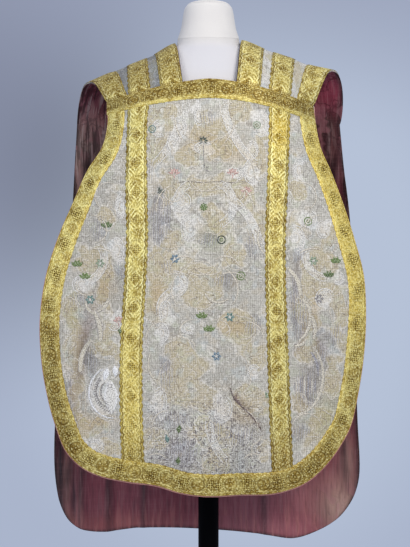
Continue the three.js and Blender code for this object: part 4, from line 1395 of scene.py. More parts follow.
# %% Threads on a path
# Given as a strip's sides, darker tones such as STONE, GREY and HAIRLINE are painted shadow beside
# the raised cord.
WHITE, CREAM, SILVER = (222, 219, 210), (220, 211, 192), (186, 185, 184)
GREY, HAIRLINE, BROWN, DUSK = (136, 131, 129), (112, 103, 96), (116, 94, 84), (152, 149, 152)
WORN = (86, 68, 60)
PEARL, STONE, SATIN, BRIGHT = (206, 198, 180), (160, 147, 124), (204, 196, 176), (232, 232, 230)
STRIP_ACROSS, STRIP_ROUND = np.array([-1, -0.55, 0.55, 1]), np.array([0, 1, 1, 0])


def polar(x, z, radius, sweep, lobes=0, depth=0, wide=1, high=1, spacing=3.4):
    """A curve about (x, z) between two angles in degrees and two radii:
    r = (r0 + (r1 - r0) share) (1 + depth |sin(lobes angle / 2)|), stretched wide and high."""
    first, last = np.radians(sweep)
    start, end = radius
    reach = (abs(start) + abs(end)) / 2 * abs(last - first) * max(wide, high)
    share = even(0, 1, spacing / max(reach, spacing * 3))
    angle = lerp(first, last, share)
    r = lerp(start, end, share) * (1 + depth * np.abs(np.sin(lobes * angle / 2)))
    return x + wide * r * np.cos(angle), z + high * r * np.sin(angle)


class Threads:
    """Strips that lie on one panel, kept until they are joined in one mesh."""

    def __init__(self):
        self.strips = []

    def lay(self, path, width, middle, sides=None, height=0.7, taper=0):
        """A strip along a path; taper makes its ends narrower, from 0 to 1 for a point. Its sides
        take their own tone where one is given, mostly a darker one as painted shadow beside the cord.
        """
        x, z = (np.asarray(values, float) for values in path)
        along_x, along_z = np.gradient(x), np.gradient(z)
        run = np.hypot(along_x, along_z)
        share = np.linspace(0, 1, len(x))
        half = width / 2 * (1 - taper * np.abs(2 * share - 1) ** 1.6)
        across = half[:, None] * STRIP_ACROSS
        strip_x = x[:, None] - (along_z / run)[:, None] * across
        strip_z = z[:, None] + (along_x / run)[:, None] * across
        tones = np.array([sides or middle, middle, middle, sides or middle])
        self.strips.append((strip_x, strip_z, height * STRIP_ROUND, tones))

    def leaf(self, x, z, turn, length, width, tone, sides=None, height=0.7):
        """A lens that starts at (x, z) and points along turn, in degrees."""
        share = np.linspace(0.02, 0.98, max(5, round(length / 2.4)))
        angle = math.radians(turn)
        path = x + share * length * math.cos(angle), z + share * length * math.sin(angle)
        self.lay(path, width, tone, sides, height, taper=1)

    def piece(self, name, surface, facing, allowed, place=lambda x, z: (x, z), every=1):
        """All that lies on allowed parts of the cloth, as one object."""
        flat, faces, heights, tones, count = [], [], [], [], 0
        for x, z, height, tone in self.strips:
            x, z = place(x[::every], z[::every])
            inside = allowed(x, z).all(1)
            first = np.argmax(inside)
            length = np.argmin(np.r_[inside[first:], False])
            if not inside.any() or length < 4:
                continue
            x, z = x[first:first + length], z[first:first + length]
            flat.append(np.stack([x, z], -1).reshape(-1, 2))
            faces.append(grid_faces(*x.shape) + count)
            heights.append(np.tile(height, length))
            tones.append(np.tile([rgb(one) for one in tone], (length, 1)))
            count += x.size
        flat, faces, tones = np.concatenate(flat), np.concatenate(faces), np.concatenate(tones)
        points, normals = surface(*flat.T), outward(surface, *flat.T, facing)
        one, two, _, four = points[faces[0]]
        if np.cross(two - one, four - one) @ normals[faces[0, 0]] < 0:
            faces = faces[:, ::-1]
        outer = PANEL[1] + 0.02 + np.concatenate(heights)
        both, closed = wall(points, normals, faces, PANEL[1] - 0.6, outer)
        colours = {"tone": double(tones)}
        return new_piece(name, both, closed, thread_silk, "lampas", double(flat), colours)


# %% [markdown]
# ### Outlines of the flowers and shells
#
# A flower has a lobed rim and a few veins, a shell has three rims and nine ribs, and a shaded
# place is hatched. One loop draws each kind, and turns every one a little further than the
# last, so that no two look alike.

# %% Outlines of the flowers and shells
FLOWER_RADIUS, SHELL_RADIUS, HATCH = 24, 20, 5.5
outlines, threads = Threads(), Threads()
for index, (x, z, half_width, half_height) in enumerate(BLOSSOMS):
    lobes = 5 + index % 3
    size = dict(wide=half_width / FLOWER_RADIUS, high=half_height / FLOWER_RADIUS)
    start = 67 * index
    rim = polar(x, z, (FLOWER_RADIUS, 23), (start, start + 210), lobes, 0.16, **size)
    heart = polar(x, z, (13, 11), (start + 40, start + 190), lobes, 0.2, **size)
    outlines.lay(rim, 2.2, PEARL, STONE, 0.5)
    outlines.lay(heart, 1.6, STONE, None, 0.3)
    long = 0.26 * (half_width + half_height)
    for k in range(0, lobes, 2):
        turn = start + 360 * k / lobes
        foot_x, foot_z = polar(x, z, (6, 6), (turn, turn + 1), **size)
        tone = (PEARL, STONE)[k // 2 % 2]
        outlines.leaf(foot_x[0], foot_z[0], turn, long, 2.4, tone, None, 0.4)

for index, (x, z, half_width, half_height) in enumerate(SHELLS):
    size = dict(wide=half_width / SHELL_RADIUS, high=half_height / SHELL_RADIUS)
    facing = (200, 20, 140, 320)[index % 4]
    for radius, width, tone in ((21, 2.6, WHITE), (16, 1.8, WHITE), (8, 2, CREAM)):
        rim = polar(x, z, (radius, radius * 0.9), (facing - 105, facing + 105), **size)
        outlines.lay(rim, width, tone, GREY, 0.5)
    long = 0.17 * (half_width + half_height)
    for turn in np.linspace(facing - 95, facing + 95, 9):
        foot_x, foot_z = polar(x, z, (9, 9), (turn, turn + 1), **size)
        outlines.leaf(foot_x[0], foot_z[0], turn, long, 2.4, WHITE, None, 0.5)

for index, (x, z, half_width, half_height) in enumerate(SHADES):
    lean = (-4, 3, 5, -2)[index % 4]
    for k, line_x in enumerate(np.arange(-half_width, half_width, HATCH)):
        high = half_height * math.sqrt(1 - (line_x / half_width) ** 2 * 0.9)
        path = np.stack([[x + line_x, z - high], [x + line_x + lean, z + high * 0.9]], -1)
        line = [np.linspace(a, b, 12) for a, b in path]
        outlines.lay(line, 1.4, DUSK if (k + index) % 3 else SILVER, None, 0.25, taper=0.6)

print(len(outlines.strips), "strips of outline")

# %% [markdown]
# ### Scrolls, satin bands and ribbons
#
# Spirals of cord run between the flowers, and bands of cream satin cross them near both sides.
# A scroll is an arc whose radius shrinks on the way, so it takes one row of seven numbers.

# %% Scrolls and ribbons
# Cords of cream silk: (x, z, first radius, last radius, first angle, last angle, width).
# The weaver's pattern turns over at the middle of the panel, so each comes twice.
SCROLLS = [
    (78, 1196, 96, 70, -8, -58, 3.4), (58, 1092, 26, 10, 150, 460, 3),
    (34, 1070, 60, 44, -20, 55, 3.2), (96, 1058, 34, 16, 80, 200, 2.8),
    (-8, 1262, 62, 80, 195, 240, 3.6), (-58, 930, 36, 22, 40, 150, 3.4),
    (-30, 882, 58, 40, 100, 210, 3.2), (40, 890, 44, 30, 20, 160, 2.6),
    (-40, 800, 34, 12, 60, 220, 2.6), (70, 800, 46, 24, -30, 90, 3),
    (-60, 700, 52, 30, 120, 230, 2.8), (60, 620, 44, 26, -30, 70, 2.8),
    (78, 530, 36, 18, 40, 110, 3), (-8, 960, 30, 46, 230, 330, 2.8),
    (-8, 1140, 40, 52, 215, 325, 2.6),
]
SIDE_SCROLLS = [
    (214, 930, 50, 42, 60, 120, 3.8), (250, 905, 30, 16, 200, 380, 2.8),
    (232, 1010, 36, 22, 80, 260, 2.8), (200, 1090, 34, 20, -60, 120, 2.6),
    (200, 604, 40, 22, 10, 170, 2.8),
]
for scrolls, middle, offset, height, taper in (
    (SCROLLS, -8, 8, 0.8, 0.5), (SIDE_SCROLLS, -6, 0, 0.9, 0.6),
):
    for x, z, first, last, start, end, width in scrolls:
        for sign in (-1, 1):
            along_x, along_z = polar(0, 0, (first, last), (start, end))
            place = middle + sign * (x + offset + along_x)
            threads.lay((place, z + along_z), width, CREAM, HAIRLINE, height, taper=taper)

# Broad bands of cream satin: from (x, z) to (x2, z2), bowed sideways, with a width.
for x1, z1, x2, z2, bow, width in (
    (-236, 846, -223, 786, -6, 13), (-241, 788, -265, 722, 8, 12), (-228, 846, -204, 874, 4, 9),
    (-238, 842, -254, 864, -3, 8), (162, 936, 188, 878, -8, 12), (192, 872, 208, 842, -4, 10),
    (208, 842, 186, 786, -8, 8), (210, 838, 216, 790, -6, 10), (-120, 760, -104, 700, 10, 6),
    (104, 1020, 118, 960, 10, 6), (-8, 884, 40, 872, 12, 6), (176, 776, 200, 790, 5, 7),
):
    share = np.linspace(0, 1, 24)
    run = math.hypot(x2 - x1, z2 - z1)
    bend = bow * np.sin(math.pi * share)
    band_x = x1 + (x2 - x1) * share + bend * (z2 - z1) / run
    band_z = z1 + (z2 - z1) * share - bend * (x2 - x1) / run
    threads.lay((band_x, band_z), width, SATIN, GREY, 1, taper=0.35)
threads.lay(polar(184, 868, (6, 6), (0, 352), spacing=1.6), 3, SATIN, GREY)

# The medallion at the lower left: a bright rim and a fine one, rows of beads, three leaves.
centre_x, centre_z, left_oval = -198, 680, dict(wide=2, high=2.15)
bright_rim = polar(centre_x, centre_z, (24, 24), (112, 280), **left_oval)
fine_rim = polar(centre_x, centre_z + 1, (27, 27), (140, 275), **left_oval)
threads.lay(bright_rim, 5, BRIGHT, GREY, 0.8, taper=0.6)
threads.lay(fine_rim, 1.8, WHITE, HAIRLINE, 0.5)
for start in range(138, 278, 7):
    for radius, turn in ((19, 40), (16, 100), (13, 20)):
        bead = polar(centre_x, centre_z, (radius, radius), (start, start + 1), **left_oval)
        threads.leaf(bead[0][0], bead[1][0], turn, 6, 2.6, GREY, None, 0.9)
threads.leaf(-199, 634, 92, 76, 30, WHITE, BRIGHT, 1)
threads.leaf(-214, 704, 76, 30, 12, BRIGHT, None, 1)
threads.leaf(-190, 712, 96, 26, 12, BRIGHT, None, 1)
threads.lay(polar(-202, 694, (4, 4), (0, 350), spacing=1.2), 1.8, DUSK, None, 1.3)

# The large leaf at the lower right: two rims and six upright veins.
right_oval = dict(wide=1, high=1.35)
threads.lay(polar(180, 712, (57, 57), (54, -86), **right_oval), 8, SATIN, GREY, 0.6, taper=0.5)
threads.lay(polar(180, 716, (46, 46), (50, -4), **right_oval), 6, DUSK, GREY, 0.3, taper=0.7)
for k, line_x in enumerate((180, 188, 196, 204, 212, 219)):
    off = abs(line_x - 200)
    threads.leaf(line_x, 660 + off, 88, 66 - 2 * off, 4, (PEARL, DUSK)[k % 2], GREY, 0.4)

# Each ribbon is a row of white beads between two fine cords.
for x, z, first, last, start, end in RIBBONS:
    for inset in (0, RIBBON_WIDTH):
        cord = polar(x, z, (first - inset, last - inset), (start, end))
        threads.lay(cord, 2.4, WHITE, HAIRLINE, 0.4)
    middle = first - RIBBON_WIDTH / 2, last - RIBBON_WIDTH / 2
    middle_x, middle_z = polar(x, z, middle, (start, end), spacing=4.8)
    heading = np.degrees(np.arctan2(np.gradient(middle_z), np.gradient(middle_x)))
    for bead_x, bead_z, turn in zip(middle_x, middle_z, heading):
        threads.leaf(bead_x, bead_z, turn + 62, 5.4, 2.4, WHITE, None, 0.6)

# %% [markdown]
# ### Small coloured flowers
#
# Rings, fans, stars and buds of coloured silk are brocaded here and there. Each kind is a loop
# over its places and colours.

# %% Flowers brocaded in colour
GREEN, LEAF, DEEP_GREEN = (100, 122, 58), (84, 104, 50), (60, 72, 56)
TEAL, BLUE, PINK, SAGE = (96, 128, 120), (100, 124, 138), (200, 162, 150), (138, 154, 126)


def ring_flower(x, z, radius, tone, eye=None):
    """A ring with a small ring inside it."""
    threads.lay(polar(x, z, (radius, radius), (0, 352), spacing=1.6), 2.6, tone)
    threads.lay(polar(x, z, (radius * 0.4,) * 2, (0, 350), spacing=1.2), 2, eye or tone)


def petals(x, z, count, start, spread, length, width, tone, inner=1.5):
    """Leaves that fan out from a centre, each at inner (cos, sin) of its turn."""
    for turn in np.linspace(start, start + spread, count):
        foot_x = x + inner * math.cos(math.radians(turn))
        foot_z = z + inner * math.sin(math.radians(turn))
        threads.leaf(foot_x, foot_z, turn, length, width, tone)


for x, z, radius, tone in (
    (26, 994, 8, DEEP_GREEN), (-116, 1223, 7, TEAL), (99, 1231, 7, SAGE),
    (205, 1033, 8, GREEN), (66, 920, 8, GREEN),
):
    ring_flower(x, z, radius, tone, GREEN)
for x, z, tone in ((-14, 838, GREEN), (1, 811, GREEN), (-272, 944, GREEN), (265, 951, GREEN),
                   (-255, 918, GREEN), (-210, 1024, LEAF), (249, 922, LEAF)):
    petals(x, z - 6, 4, 40, 100, 15, 7.6, tone)
for x, z, tone in ((-69, 955, BLUE), (16, 756, BLUE), (43, 836, TEAL), (-244, 871, TEAL),
                   (-223, 946, SAGE), (216, 951, SAGE), (228, 873, GREY)):
    petals(x, z, 6, 0, 300, 9, 6.4, tone)
    petals(x, z, 4, 30, 270, 4, 3, WHITE, 0.1)
for x, z, tone in ((-70, 1131, PINK), (49, 1131, PINK), (77, 1094, PINK), (-184, 828, PINK)):
    petals(x, z - 3, 5, 20, 140, 12, 4.6, tone, 2)
    threads.lay(polar(x, z + 1, (6, 6), (-60, 240), spacing=1.6), 1.8, tone)
    threads.leaf(x, z - 13, 90, 12, 3, tone)
for x, z, turn, tone in ((-60, 606, 80, LEAF), (-60, 541, 90, LEAF), (-103, 1098, 20, DEEP_GREEN),
                         (117, 678, 40, SAGE), (-180, 807, 80, LEAF), (-81, 586, 100, TEAL)):
    threads.leaf(x - 2, z - 8, turn, 19, 9, tone)
    threads.leaf(x, z - 4, turn + 50, 10, 4.4, tone)
petals(-10, 1061, 8, 0, 315, 8.6, 5.6, GREEN, 0.2)
petals(-11, 1197, 7, -40, 260, 9, 4.4, DEEP_GREEN)
threads.lay((np.linspace(-11, -9, 14), np.linspace(1192, 1141, 14)), 1.6, GREY)
petals(-9, 1139, 3, -30, 120, 9, 3, GREY)
print(len(threads.strips), "strips of scrolls and flowers")

# %% [markdown]
# ### Seam, worn crease, and the threads as meshes
#
# The front is pieced with one fine level seam, and its silk has worn through along an old
# crease. All threads end where the braid begins, and each list becomes one mesh, because
# hundreds of objects would be slow to handle.

# %% Piecing seam, worn crease, and the threads as meshes
flowers = list(threads.strips)
seam_x = np.linspace(-66, 92, 54)
threads.lay((seam_x, 1112 + 0.8 * np.sin(seam_x / 9)), 1.5, HAIRLINE, HAIRLINE, 0.2)
crack = Table("x z", (44, 692), (47, 680), (54, 667), (80, 641), (96, 622), (108, 606))
crack_x = np.linspace(44, 108, 30)
threads.lay((crack_x, crack.at("z", crack_x)), 4.6, WORN, BROWN, 0.75, taper=0.5)
for x, z, turn, length, width in (
    (50, 678, -54, 40, 6.4), (78, 644, -50, 46, 6.4), (53, 664, 72, 20, 3), (94, 626, -58, 28, 5),
):
    threads.leaf(x, z, turn, length, width, BROWN, STONE, 0.65)


def within(sides, hem, top, top_gap, side_gap=12, hem_gap=10):
    """A test for points inside a panel's outline, by a gap at the sides, the hem and the top."""
    def allowed(x, z):
        left, right = sides.at("left", z), sides.at("right", z)
        between = (x > side_gap - left) & (x < right - side_gap)
        return between & (z > hem.at("z", x) + hem_gap) & (z < top(x) - top_gap)

    return allowed


def lower_by(fall):
    """Where a strip of the front's layout lies on the back, when it is moved down by fall."""
    return lambda x, z: (-x / PATTERN_SHARE, z + PATTERN_SHIFT - fall)


within_front = within(front_sides, front_hem, chest_top, 4)
within_back = within(back_sides, back_hem, blade_line, 0)
front_outlines = outlines.piece("front_outlines", front_surface, 1, within_front)
front_threads = threads.piece("front_threads", front_surface, 1, within_front)
threads.strips = outlines.strips + flowers
back_threads = [
    threads.piece(f"back_threads_{part}", back_surface, -1, within_back, lower_by(fall), every=2)
    for part, fall in (("low", PATTERN_REPEAT), ("high", 0))
]

# %% [markdown]
# ## Braids
#
# A braid is a strip between two edges that are known on the cloth. It is laid in short rows,
# moved out by its own height and rounded down towards its sides, which are let out in small
# scallops.

# %% Laying a braid
ACROSS = np.linspace(0, 1, 7)
BRAID_STEP = 2.1


def laid(surface, facing, edge_a, edge_b):
    """Rows of points and normals between two edges, each a pair of surface coordinates."""
    a = lerp(edge_a[0][:, None], edge_b[0][:, None], ACROSS)
    b = lerp(edge_a[1][:, None], edge_b[1][:, None], ACROSS)
    return surface(a, b), outward(surface, a, b, facing)


def strip(parts, scallops):
    """A closed strip from laid parts, end to end, as (points, faces, uv, length).

    scallops gives how far each side is let out: depth |sin(pi s / pitch)| at the length s.
    """
    points = np.concatenate([parts[0][0]] + [part[0][1:] for part in parts[1:]])
    normals = np.concatenate([parts[0][1]] + [part[1][1:] for part in parts[1:]])
    middle = points[:, len(ACROSS) // 2]
    s = np.r_[0, np.cumsum(np.linalg.norm(np.diff(middle, axis=0), axis=1))]
    scallop = np.abs(np.sin(math.pi * s / SCALLOP))[:, None]
    sides = []
    for edge, inner, let_out in ((0, 1, scallops[0]), (-1, -2, scallops[1])):
        away = points[:, edge] - points[:, inner]
        away /= np.linalg.norm(away, axis=1, keepdims=True)
        sides.append(points[:, edge] + away * (0.15 + let_out * scallop))
    points = np.concatenate([sides[0][:, None], points, sides[1][:, None]], 1)
    normals = np.concatenate([normals[:, :1], normals, normals[:, -1:]], 1)
    rows, columns = points.shape[:2]
    reach = np.r_[-0.02, ACROSS, 1.02]
    thickness = GALLOON[1] - GALLOON[0]
    outer = GALLOON[0] + thickness * np.r_[0.3, 0.8, np.ones(columns - 4), 0.8, 0.3]
    uv = np.stack(np.broadcast_arrays(s[:, None], (reach - 0.5) * GALLOON_WIDTH), -1)
    facing = np.cross(points[0, 2] - points[0, 1], points[1, 1] - points[0, 1]) @ normals[0, 1]
    both, closed = wall(
        points.reshape(-1, 3), normals.reshape(-1, 3), grid_faces(rows, columns, facing < 0),
        GALLOON[0], np.tile(outer, rows),
    )
    return both, closed, double(uv.reshape(-1, 2)), s[-1]


def tarnish_and_painted_light(points):
    """How far the metal is tarnished, with painted shade added along the front's hem, across the
    chest band and on the left strap, and darker at the lower left and lower right of the front;
    how orange it is; and painted highlights on the right edge and low on the left upright.
    """
    x, y, z = points.T
    ahead = y < 0
    # Painted shade, added to the tarnish: along the hem, across the chest band and on the left strap.
    hem = smooth((640 - z) / 110) * ahead
    chest_band = smooth((z - chest_bottom(x) - 2) / 12) * (z < chest_top(x) + 6) * ahead * 1.2
    left_strap_shade = smooth((z - chest_top(x) - 6) / 8) * (0.5 + 0.6 * smooth((60 - x) / 80))
    low_left = ahead * smooth((-250 - x) / 60) * smooth((920 - z) / 140)
    low_right = ahead * smooth((x - 100) / 20) * smooth((1150 - z) / 60) * 0.35
    low_right *= np.maximum(x < 175, smooth((860 - z) / 120))
    dull_and_shaded = np.minimum(0.06 + 0.8 * hem + chest_band + left_strap_shade + low_left + low_right, 1.25)
    warm = ahead * smooth((x - 120) / 30) * smooth((1280 - z) / 50) * smooth((z - 1150) / 60)
    # Painted highlights: on the right edge of the front, and low on the left upright.
    painted_highlight = ahead * smooth((x - 190) / 40) * smooth((z - 700) / 200) * (z < 1240) * 1.3
    painted_highlight += ahead * (np.abs(x + 158) < 30) * smooth((900 - z) / 200) * smooth((z - 505) / 20)
    return np.stack([dull_and_shaded, warm * (x < 175), painted_highlight], -1)


def braid(name, kind, *strips):
    """One piece from closed strips, in place of the plain node of that name."""
    starts = np.cumsum([0] + [len(points) for points, *_ in strips[:-1]])
    points = np.concatenate([one[0] for one in strips])
    faces = np.concatenate([one[1] + start for one, start in zip(strips, starts)])
    uv = np.concatenate([one[2] for one in strips])
    piece = new_piece(name, points, faces, *kind, uv, {"tarnish_and_painted_light": tarnish_and_painted_light(points)})
    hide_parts(name)
    print(name, [round(one[3]) for one in strips], "mm long")
    return piece


def hem_height(outline, depth_of, x):
    """Height of the inner edge of the hem's braid under x."""
    s = np.linspace(outline.length * 0.3, outline.length * 0.7, 3000)
    out_x, out_z = outline.at(s)
    in_x, in_z = outline.inwards(s, depth_of)
    return np.interp(x, out_x + in_x, out_z + in_z)


# %% [markdown]
# ### Braids of the front
#
# One braid covers the chest seam, one runs round the sides and the hem, and two stand upright
# between them. Each ends against its neighbour with a small gap, and the ends are searched
# for along the edges.

# %% Braids of the front
CHEST_LENGTH, EDGE_GAP, FRONT_UPRIGHT, BACK_UPRIGHT = 440, 0.4, 770, 890
share = even(0, 1, BRAID_STEP / CHEST_LENGTH)
top_x, low_x = lerp(-213, 220, share), lerp(-213, 225, share)
chest = laid(front_surface, 1, (top_x, chest_top(top_x)), (low_x, chest_bottom(low_x)))
chest_galloon = braid("chest_galloon", ROSETTES, strip([chest], (0.3, 0.8)))


def below_chest(s, inside):
    """Height of a side of the edge's braid over the chest band's lower line, at a length s."""
    x, z = front_outline.at(s)
    in_x, in_z = front_outline.inwards(s, front_y)
    return z + inside * in_z - chest_bottom(x + inside * in_x)


def braid_ends(inside):
    """The two lengths at which a side of the edge's braid leaves the chest band."""
    s = np.linspace(0, front_outline.length, 12000)
    under = below_chest(s, inside) < -EDGE_GAP
    return s[np.argmax(under)], s[len(s) - 1 - np.argmax(under[::-1])]


(outer_start, outer_end), (inner_start, inner_end) = braid_ends(0), braid_ends(1)
s = even(outer_start, outer_end, BRAID_STEP)
near_start, near_end = smooth(1 - (s - outer_start) / 110), smooth(1 - (outer_end - s) / 110)
s_inner = s + (inner_start - outer_start) * near_start + (inner_end - outer_end) * near_end
outer_x, outer_z = front_outline.at(s)
inner_x, inner_z = front_outline.at(s_inner)
in_x, in_z = front_outline.inwards(s_inner, front_y)
edge = laid(front_surface, 1, (outer_x, outer_z), (inner_x + in_x, inner_z + in_z))
front_edge_galloon = braid("front_edge_galloon", ROSETTES, strip([edge], (0, 1.3)))

for side in ("left", "right"):
    lines = []
    for column in (f"{side}_outer", f"{side}_inner"):
        z_top = float(chest_bottom(front_columns.at(column, 1290)))
        z_low = float(hem_height(front_outline, front_y, front_columns.at(column, 530)))
        share = even(0, 1, BRAID_STEP / FRONT_UPRIGHT)
        z = lerp(z_top - EDGE_GAP, z_low + EDGE_GAP, share)
        lines.append((front_columns.at(column, z), z))
    column = laid(front_surface, 1, *lines)
    upright = strip([column], (2.8, 2.8))
    braid(f"front_column_galloon_{side}", DIAMONDS, upright)

# %% [markdown]
# ### Braids of the straps and the back
#
# These braids pass over the shoulders, so their parts on a strap follow two lanes. The parts
# are joined end to end before the strip is closed, so that no seam shows.

# %% Braids of the straps and the back
def eased(values, reach):
    """The running mean of values over reach steps either way."""
    padded = np.pad(values, reach, mode="edge")
    return np.convolve(padded, np.full(2 * reach + 1, 1 / (2 * reach + 1)), "valid")


def over(blade_a, blade_b, from_turn, to_turn):
    """A braid's part over a shoulder, between two lanes."""
    turn = even(from_turn, to_turn, BRAID_STEP / SHOULDER_MM)
    edges = [(np.full_like(turn, blade), turn) for blade in (blade_a, blade_b)]
    return laid(over_shoulder, 1, *edges)


for side, sign in (("left", -1), ("right", 1)):
    lines = []
    for column_x in (sign * BACK_COLUMN[1], sign * BACK_COLUMN[0]):
        z_low = hem_height(back_outline, back_y, column_x)
        share = even(0, 1, BRAID_STEP / BACK_UPRIGHT)
        z = lerp(blade_line(column_x), float(z_low) + EDGE_GAP, share)
        lines.append((np.full_like(z, column_x), z))
    hanging = laid(back_surface, -1, *lines)
    strap = over(sign * BACK_COLUMN[1], sign * BACK_COLUMN[0], -90, 90)
    upright = strip([strap, hanging], (2.8, 2.8))
    braid(f"back_column_galloon_{side}", DIAMONDS, upright)

s = even(0, back_outline.length, BRAID_STEP)
outer_x, outer_z = back_outline.at(s)
in_x, in_z = (eased(values, 30) for values in back_outline.inwards(s, back_y))
settled = smooth(np.minimum(s, back_outline.length - s) / 90)
side_of = np.where(s < back_outline.length / 2, 1, -1)
in_x = lerp((BLADE_REACH - BAND) * side_of, in_x, settled)
in_z = lerp(blade_line(BAND) - blade_line(BLADE_REACH), in_z, settled)
hanging = laid(back_surface, -1, (outer_x, outer_z), (outer_x + in_x, outer_z + in_z))
round_the_back = [
    over(-BLADE_REACH, -BAND, -90, 90), hanging, over(BLADE_REACH, BAND, 90, -90)
]
back_edge_galloon = braid("back_edge_galloon", DIAMONDS, strip(round_the_back, (0.2, 1.2)))

blade = even(-NECK + EDGE_GAP, NECK - EDGE_GAP, BRAID_STEP)
upper, lower = np.full_like(blade, YOKE_TURN), np.full_like(blade, YOKE_BRAID_TURN)
neck_galloon = braid(
    "neck_galloon", DIAMONDS,
    strip([over(-STRIP, -NECK, -90, YOKE_BRAID_TURN)], (1, 0.2)),
    strip([laid(over_shoulder, 1, (blade, upper), (blade, lower))], (0.2, 1)),
    strip([over(STRIP, NECK, -90, YOKE_BRAID_TURN)], (1, 0.2)),
)

# %% [markdown]
# ## Dress form
#
# The form is turned from elliptical sections, each with its own depth in front and behind. Its
# neck is a separate tube with a rounded cap, and their joint shows as a fine ridge. There are
# no arms, legs or head. Sculpting would look no smoother, and could not be checked against a
# tape.

# %% Rings and lofts
ROUND = np.linspace(0, 2 * math.pi, 129)[:-1]


def rings(sections):
    """Points on ellipses: x = half cos, y = front or back sin, z lifted by slope times y."""
    z, half, front, back, slope = np.asarray(sections, float).T[:, :, None]
    depth = np.where(np.sin(ROUND) < 0, front, back)
    y = depth * np.sin(ROUND)
    return np.stack([half * np.cos(ROUND), y, z + slope * y], -1)


def closed_loft(points):
    """The points and faces of a loft through rings, closed at both ends by a centre point."""
    count, sides = points.shape[:2]
    ring = np.arange(count * sides).reshape(count, sides)
    ahead = np.roll(ring, -1, axis=1)
    quads = np.stack([ring[:-1], ahead[:-1], ahead[1:], ring[1:]], -1).reshape(-1, 4)
    low, high = count * sides, count * sides + 1
    ends = np.concatenate([
        np.stack([np.full(sides, low), ahead[0], ring[0]], -1),
        np.stack([np.full(sides, high), ring[-1], ahead[-1]], -1),
    ])
    triangles = np.concatenate([quads[:, [0, 1, 2]], quads[:, [0, 2, 3]], ends])
    middles = np.stack([points[0].mean(0), points[-1].mean(0)])
    return np.concatenate([points.reshape(-1, 3), middles]), triangles


def smoothed(sections, steps):
    """Sections read in between their rows, steps to a row."""
    sections = np.asarray(sections, float)
    index = np.arange(len(sections))
    fine = np.linspace(0, len(sections) - 1, (len(sections) - 1) * steps + 1)
    return np.stack([read(index, column, fine) for column in sections.T], -1)


def around(points):
    """Flat coordinates of a turned piece: the way round at its widest, and the way up."""
    rows = points[:, :1, :]
    widest = np.abs(points[..., 0]).max()
    up = np.r_[0, np.cumsum(np.linalg.norm(np.diff(rows[:, 0], axis=0), axis=1))]
    u = np.broadcast_to(ROUND * widest, points.shape[:2])
    uv = np.stack([u, np.broadcast_to(up[:, None], points.shape[:2])], -1).reshape(-1, 2)
    return np.concatenate([uv, uv[:1], uv[-1:]])


def turned_piece(name, points, finish, slot, sharp=50):
    """A closed loft through rings, in place of the plain node of that name."""
    closed, faces = closed_loft(points)
    piece = new_piece(name, closed, faces, finish, slot, around(points), sharp=sharp)
    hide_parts(name)
    return piece


# %% Build the form
# Sections: (height, half width, depth in front, depth behind, slope).
torso_sections = [
    (740, 160, 96, 102, 0), (741.5, 166, 102, 108, 0), (746, 168.5, 104.5, 110.5, 0),
    (800, 168, 104, 110, 0), (870, 156, 100, 102, 0), (940, 141, 92, 90, 0),
    (1020, 132, 84, 80, 0), (1100, 144, 94, 87, 0), (1180, 160, 109, 97, 0),
    (1240, 170, 115, 102, 0), (1290, 179, 109, 97, 0), (1325, 184, 100, 88, 0),
    (1345, 182.5, 93, 80, 0), (1356, 178, 88, 74, 0), (1368, 162, 82, 68, 0),
    (1380, 133, 76, 63, 0), (1389, 114, 72, 61, 0), (1401, 92, 67.5, 59.5, 0),
    (1412.5, 72.4, 64.5, 58.5, 0.03), (1422, 67.6, 62.6, 58.5, 0.07), (1429.6, 66.2, 62, 59, 0.1),
]
form_torso = turned_piece("form_torso", rings(smoothed(torso_sections, 3)), jersey, "jersey", 60)

neck_sections = [
    (1428.6, 65.8, 61.4, 58.5, 0.1), (1430.2, 66.6, 62.3, 59.3, 0.1), (1431.8, 66.6, 62.2, 59.2, 0.1),
    (1433.6, 65.8, 61.6, 58.8, 0.1), (1439, 64, 60.4, 58, 0.07), (1446, 61.6, 58.6, 57, 0.04),
    (1453, 59.6, 57, 56, 0.02), (1462, 57.8, 55.4, 55, 0), (1480, 55.2, 53.4, 53.4, 0),
    (1492, 53, 51.6, 51.6, 0), (1498, 50.8, 49.8, 49.8, 0), (1502, 47.4, 46.8, 46.8, 0),
]
turned_piece("form_neck", rings(smoothed(neck_sections, 2)), jersey, "jersey")

# The cap is a low dome: its radius falls as the root of 1 - rise^2.2.
CAP_RADIUS, CAP_FOOT, CAP_RISE = 46.6, 1502.3, 10
rise = np.linspace(0, 0.995, 12)
radius = CAP_RADIUS * np.sqrt(1 - rise**2.2)
cap_sections = np.stack([CAP_FOOT + CAP_RISE * rise, radius, radius, radius, 0 * rise], -1)
turned_piece("form_neck_cap", rings(cap_sections), jersey, "jersey")

# %% [markdown]
# ## Stand
#
# The stand is a black enamelled tube in a flange under the form and in a hub on a round plate.
# All four are turned from profiles with small rounded corners.

# %% Build the stand
def turned(profile, rounding=1.2):
    """Rings from a profile of (radius, z), each corner cut by a small arc of three points."""
    corners = np.array(profile, float)
    before, after = np.roll(corners, 1, 0) - corners, np.roll(corners, -1, 0) - corners
    lengths = [np.linalg.norm(side, axis=1, keepdims=True) for side in (before, after)]
    reach = np.minimum(rounding, np.minimum(*lengths) / 2.5)
    one, two = (side / length * reach for side, length in zip((before, after), lengths))
    cut = np.stack([corners + one, corners + (one + two) * 0.29, corners + two], 1)
    cut[0], cut[-1] = corners[0], corners[-1]
    radius, z = cut.reshape(-1, 2).T
    return np.stack(np.broadcast_arrays(
        radius[:, None] * np.cos(ROUND), radius[:, None] * np.sin(ROUND), z[:, None]
    ), -1)


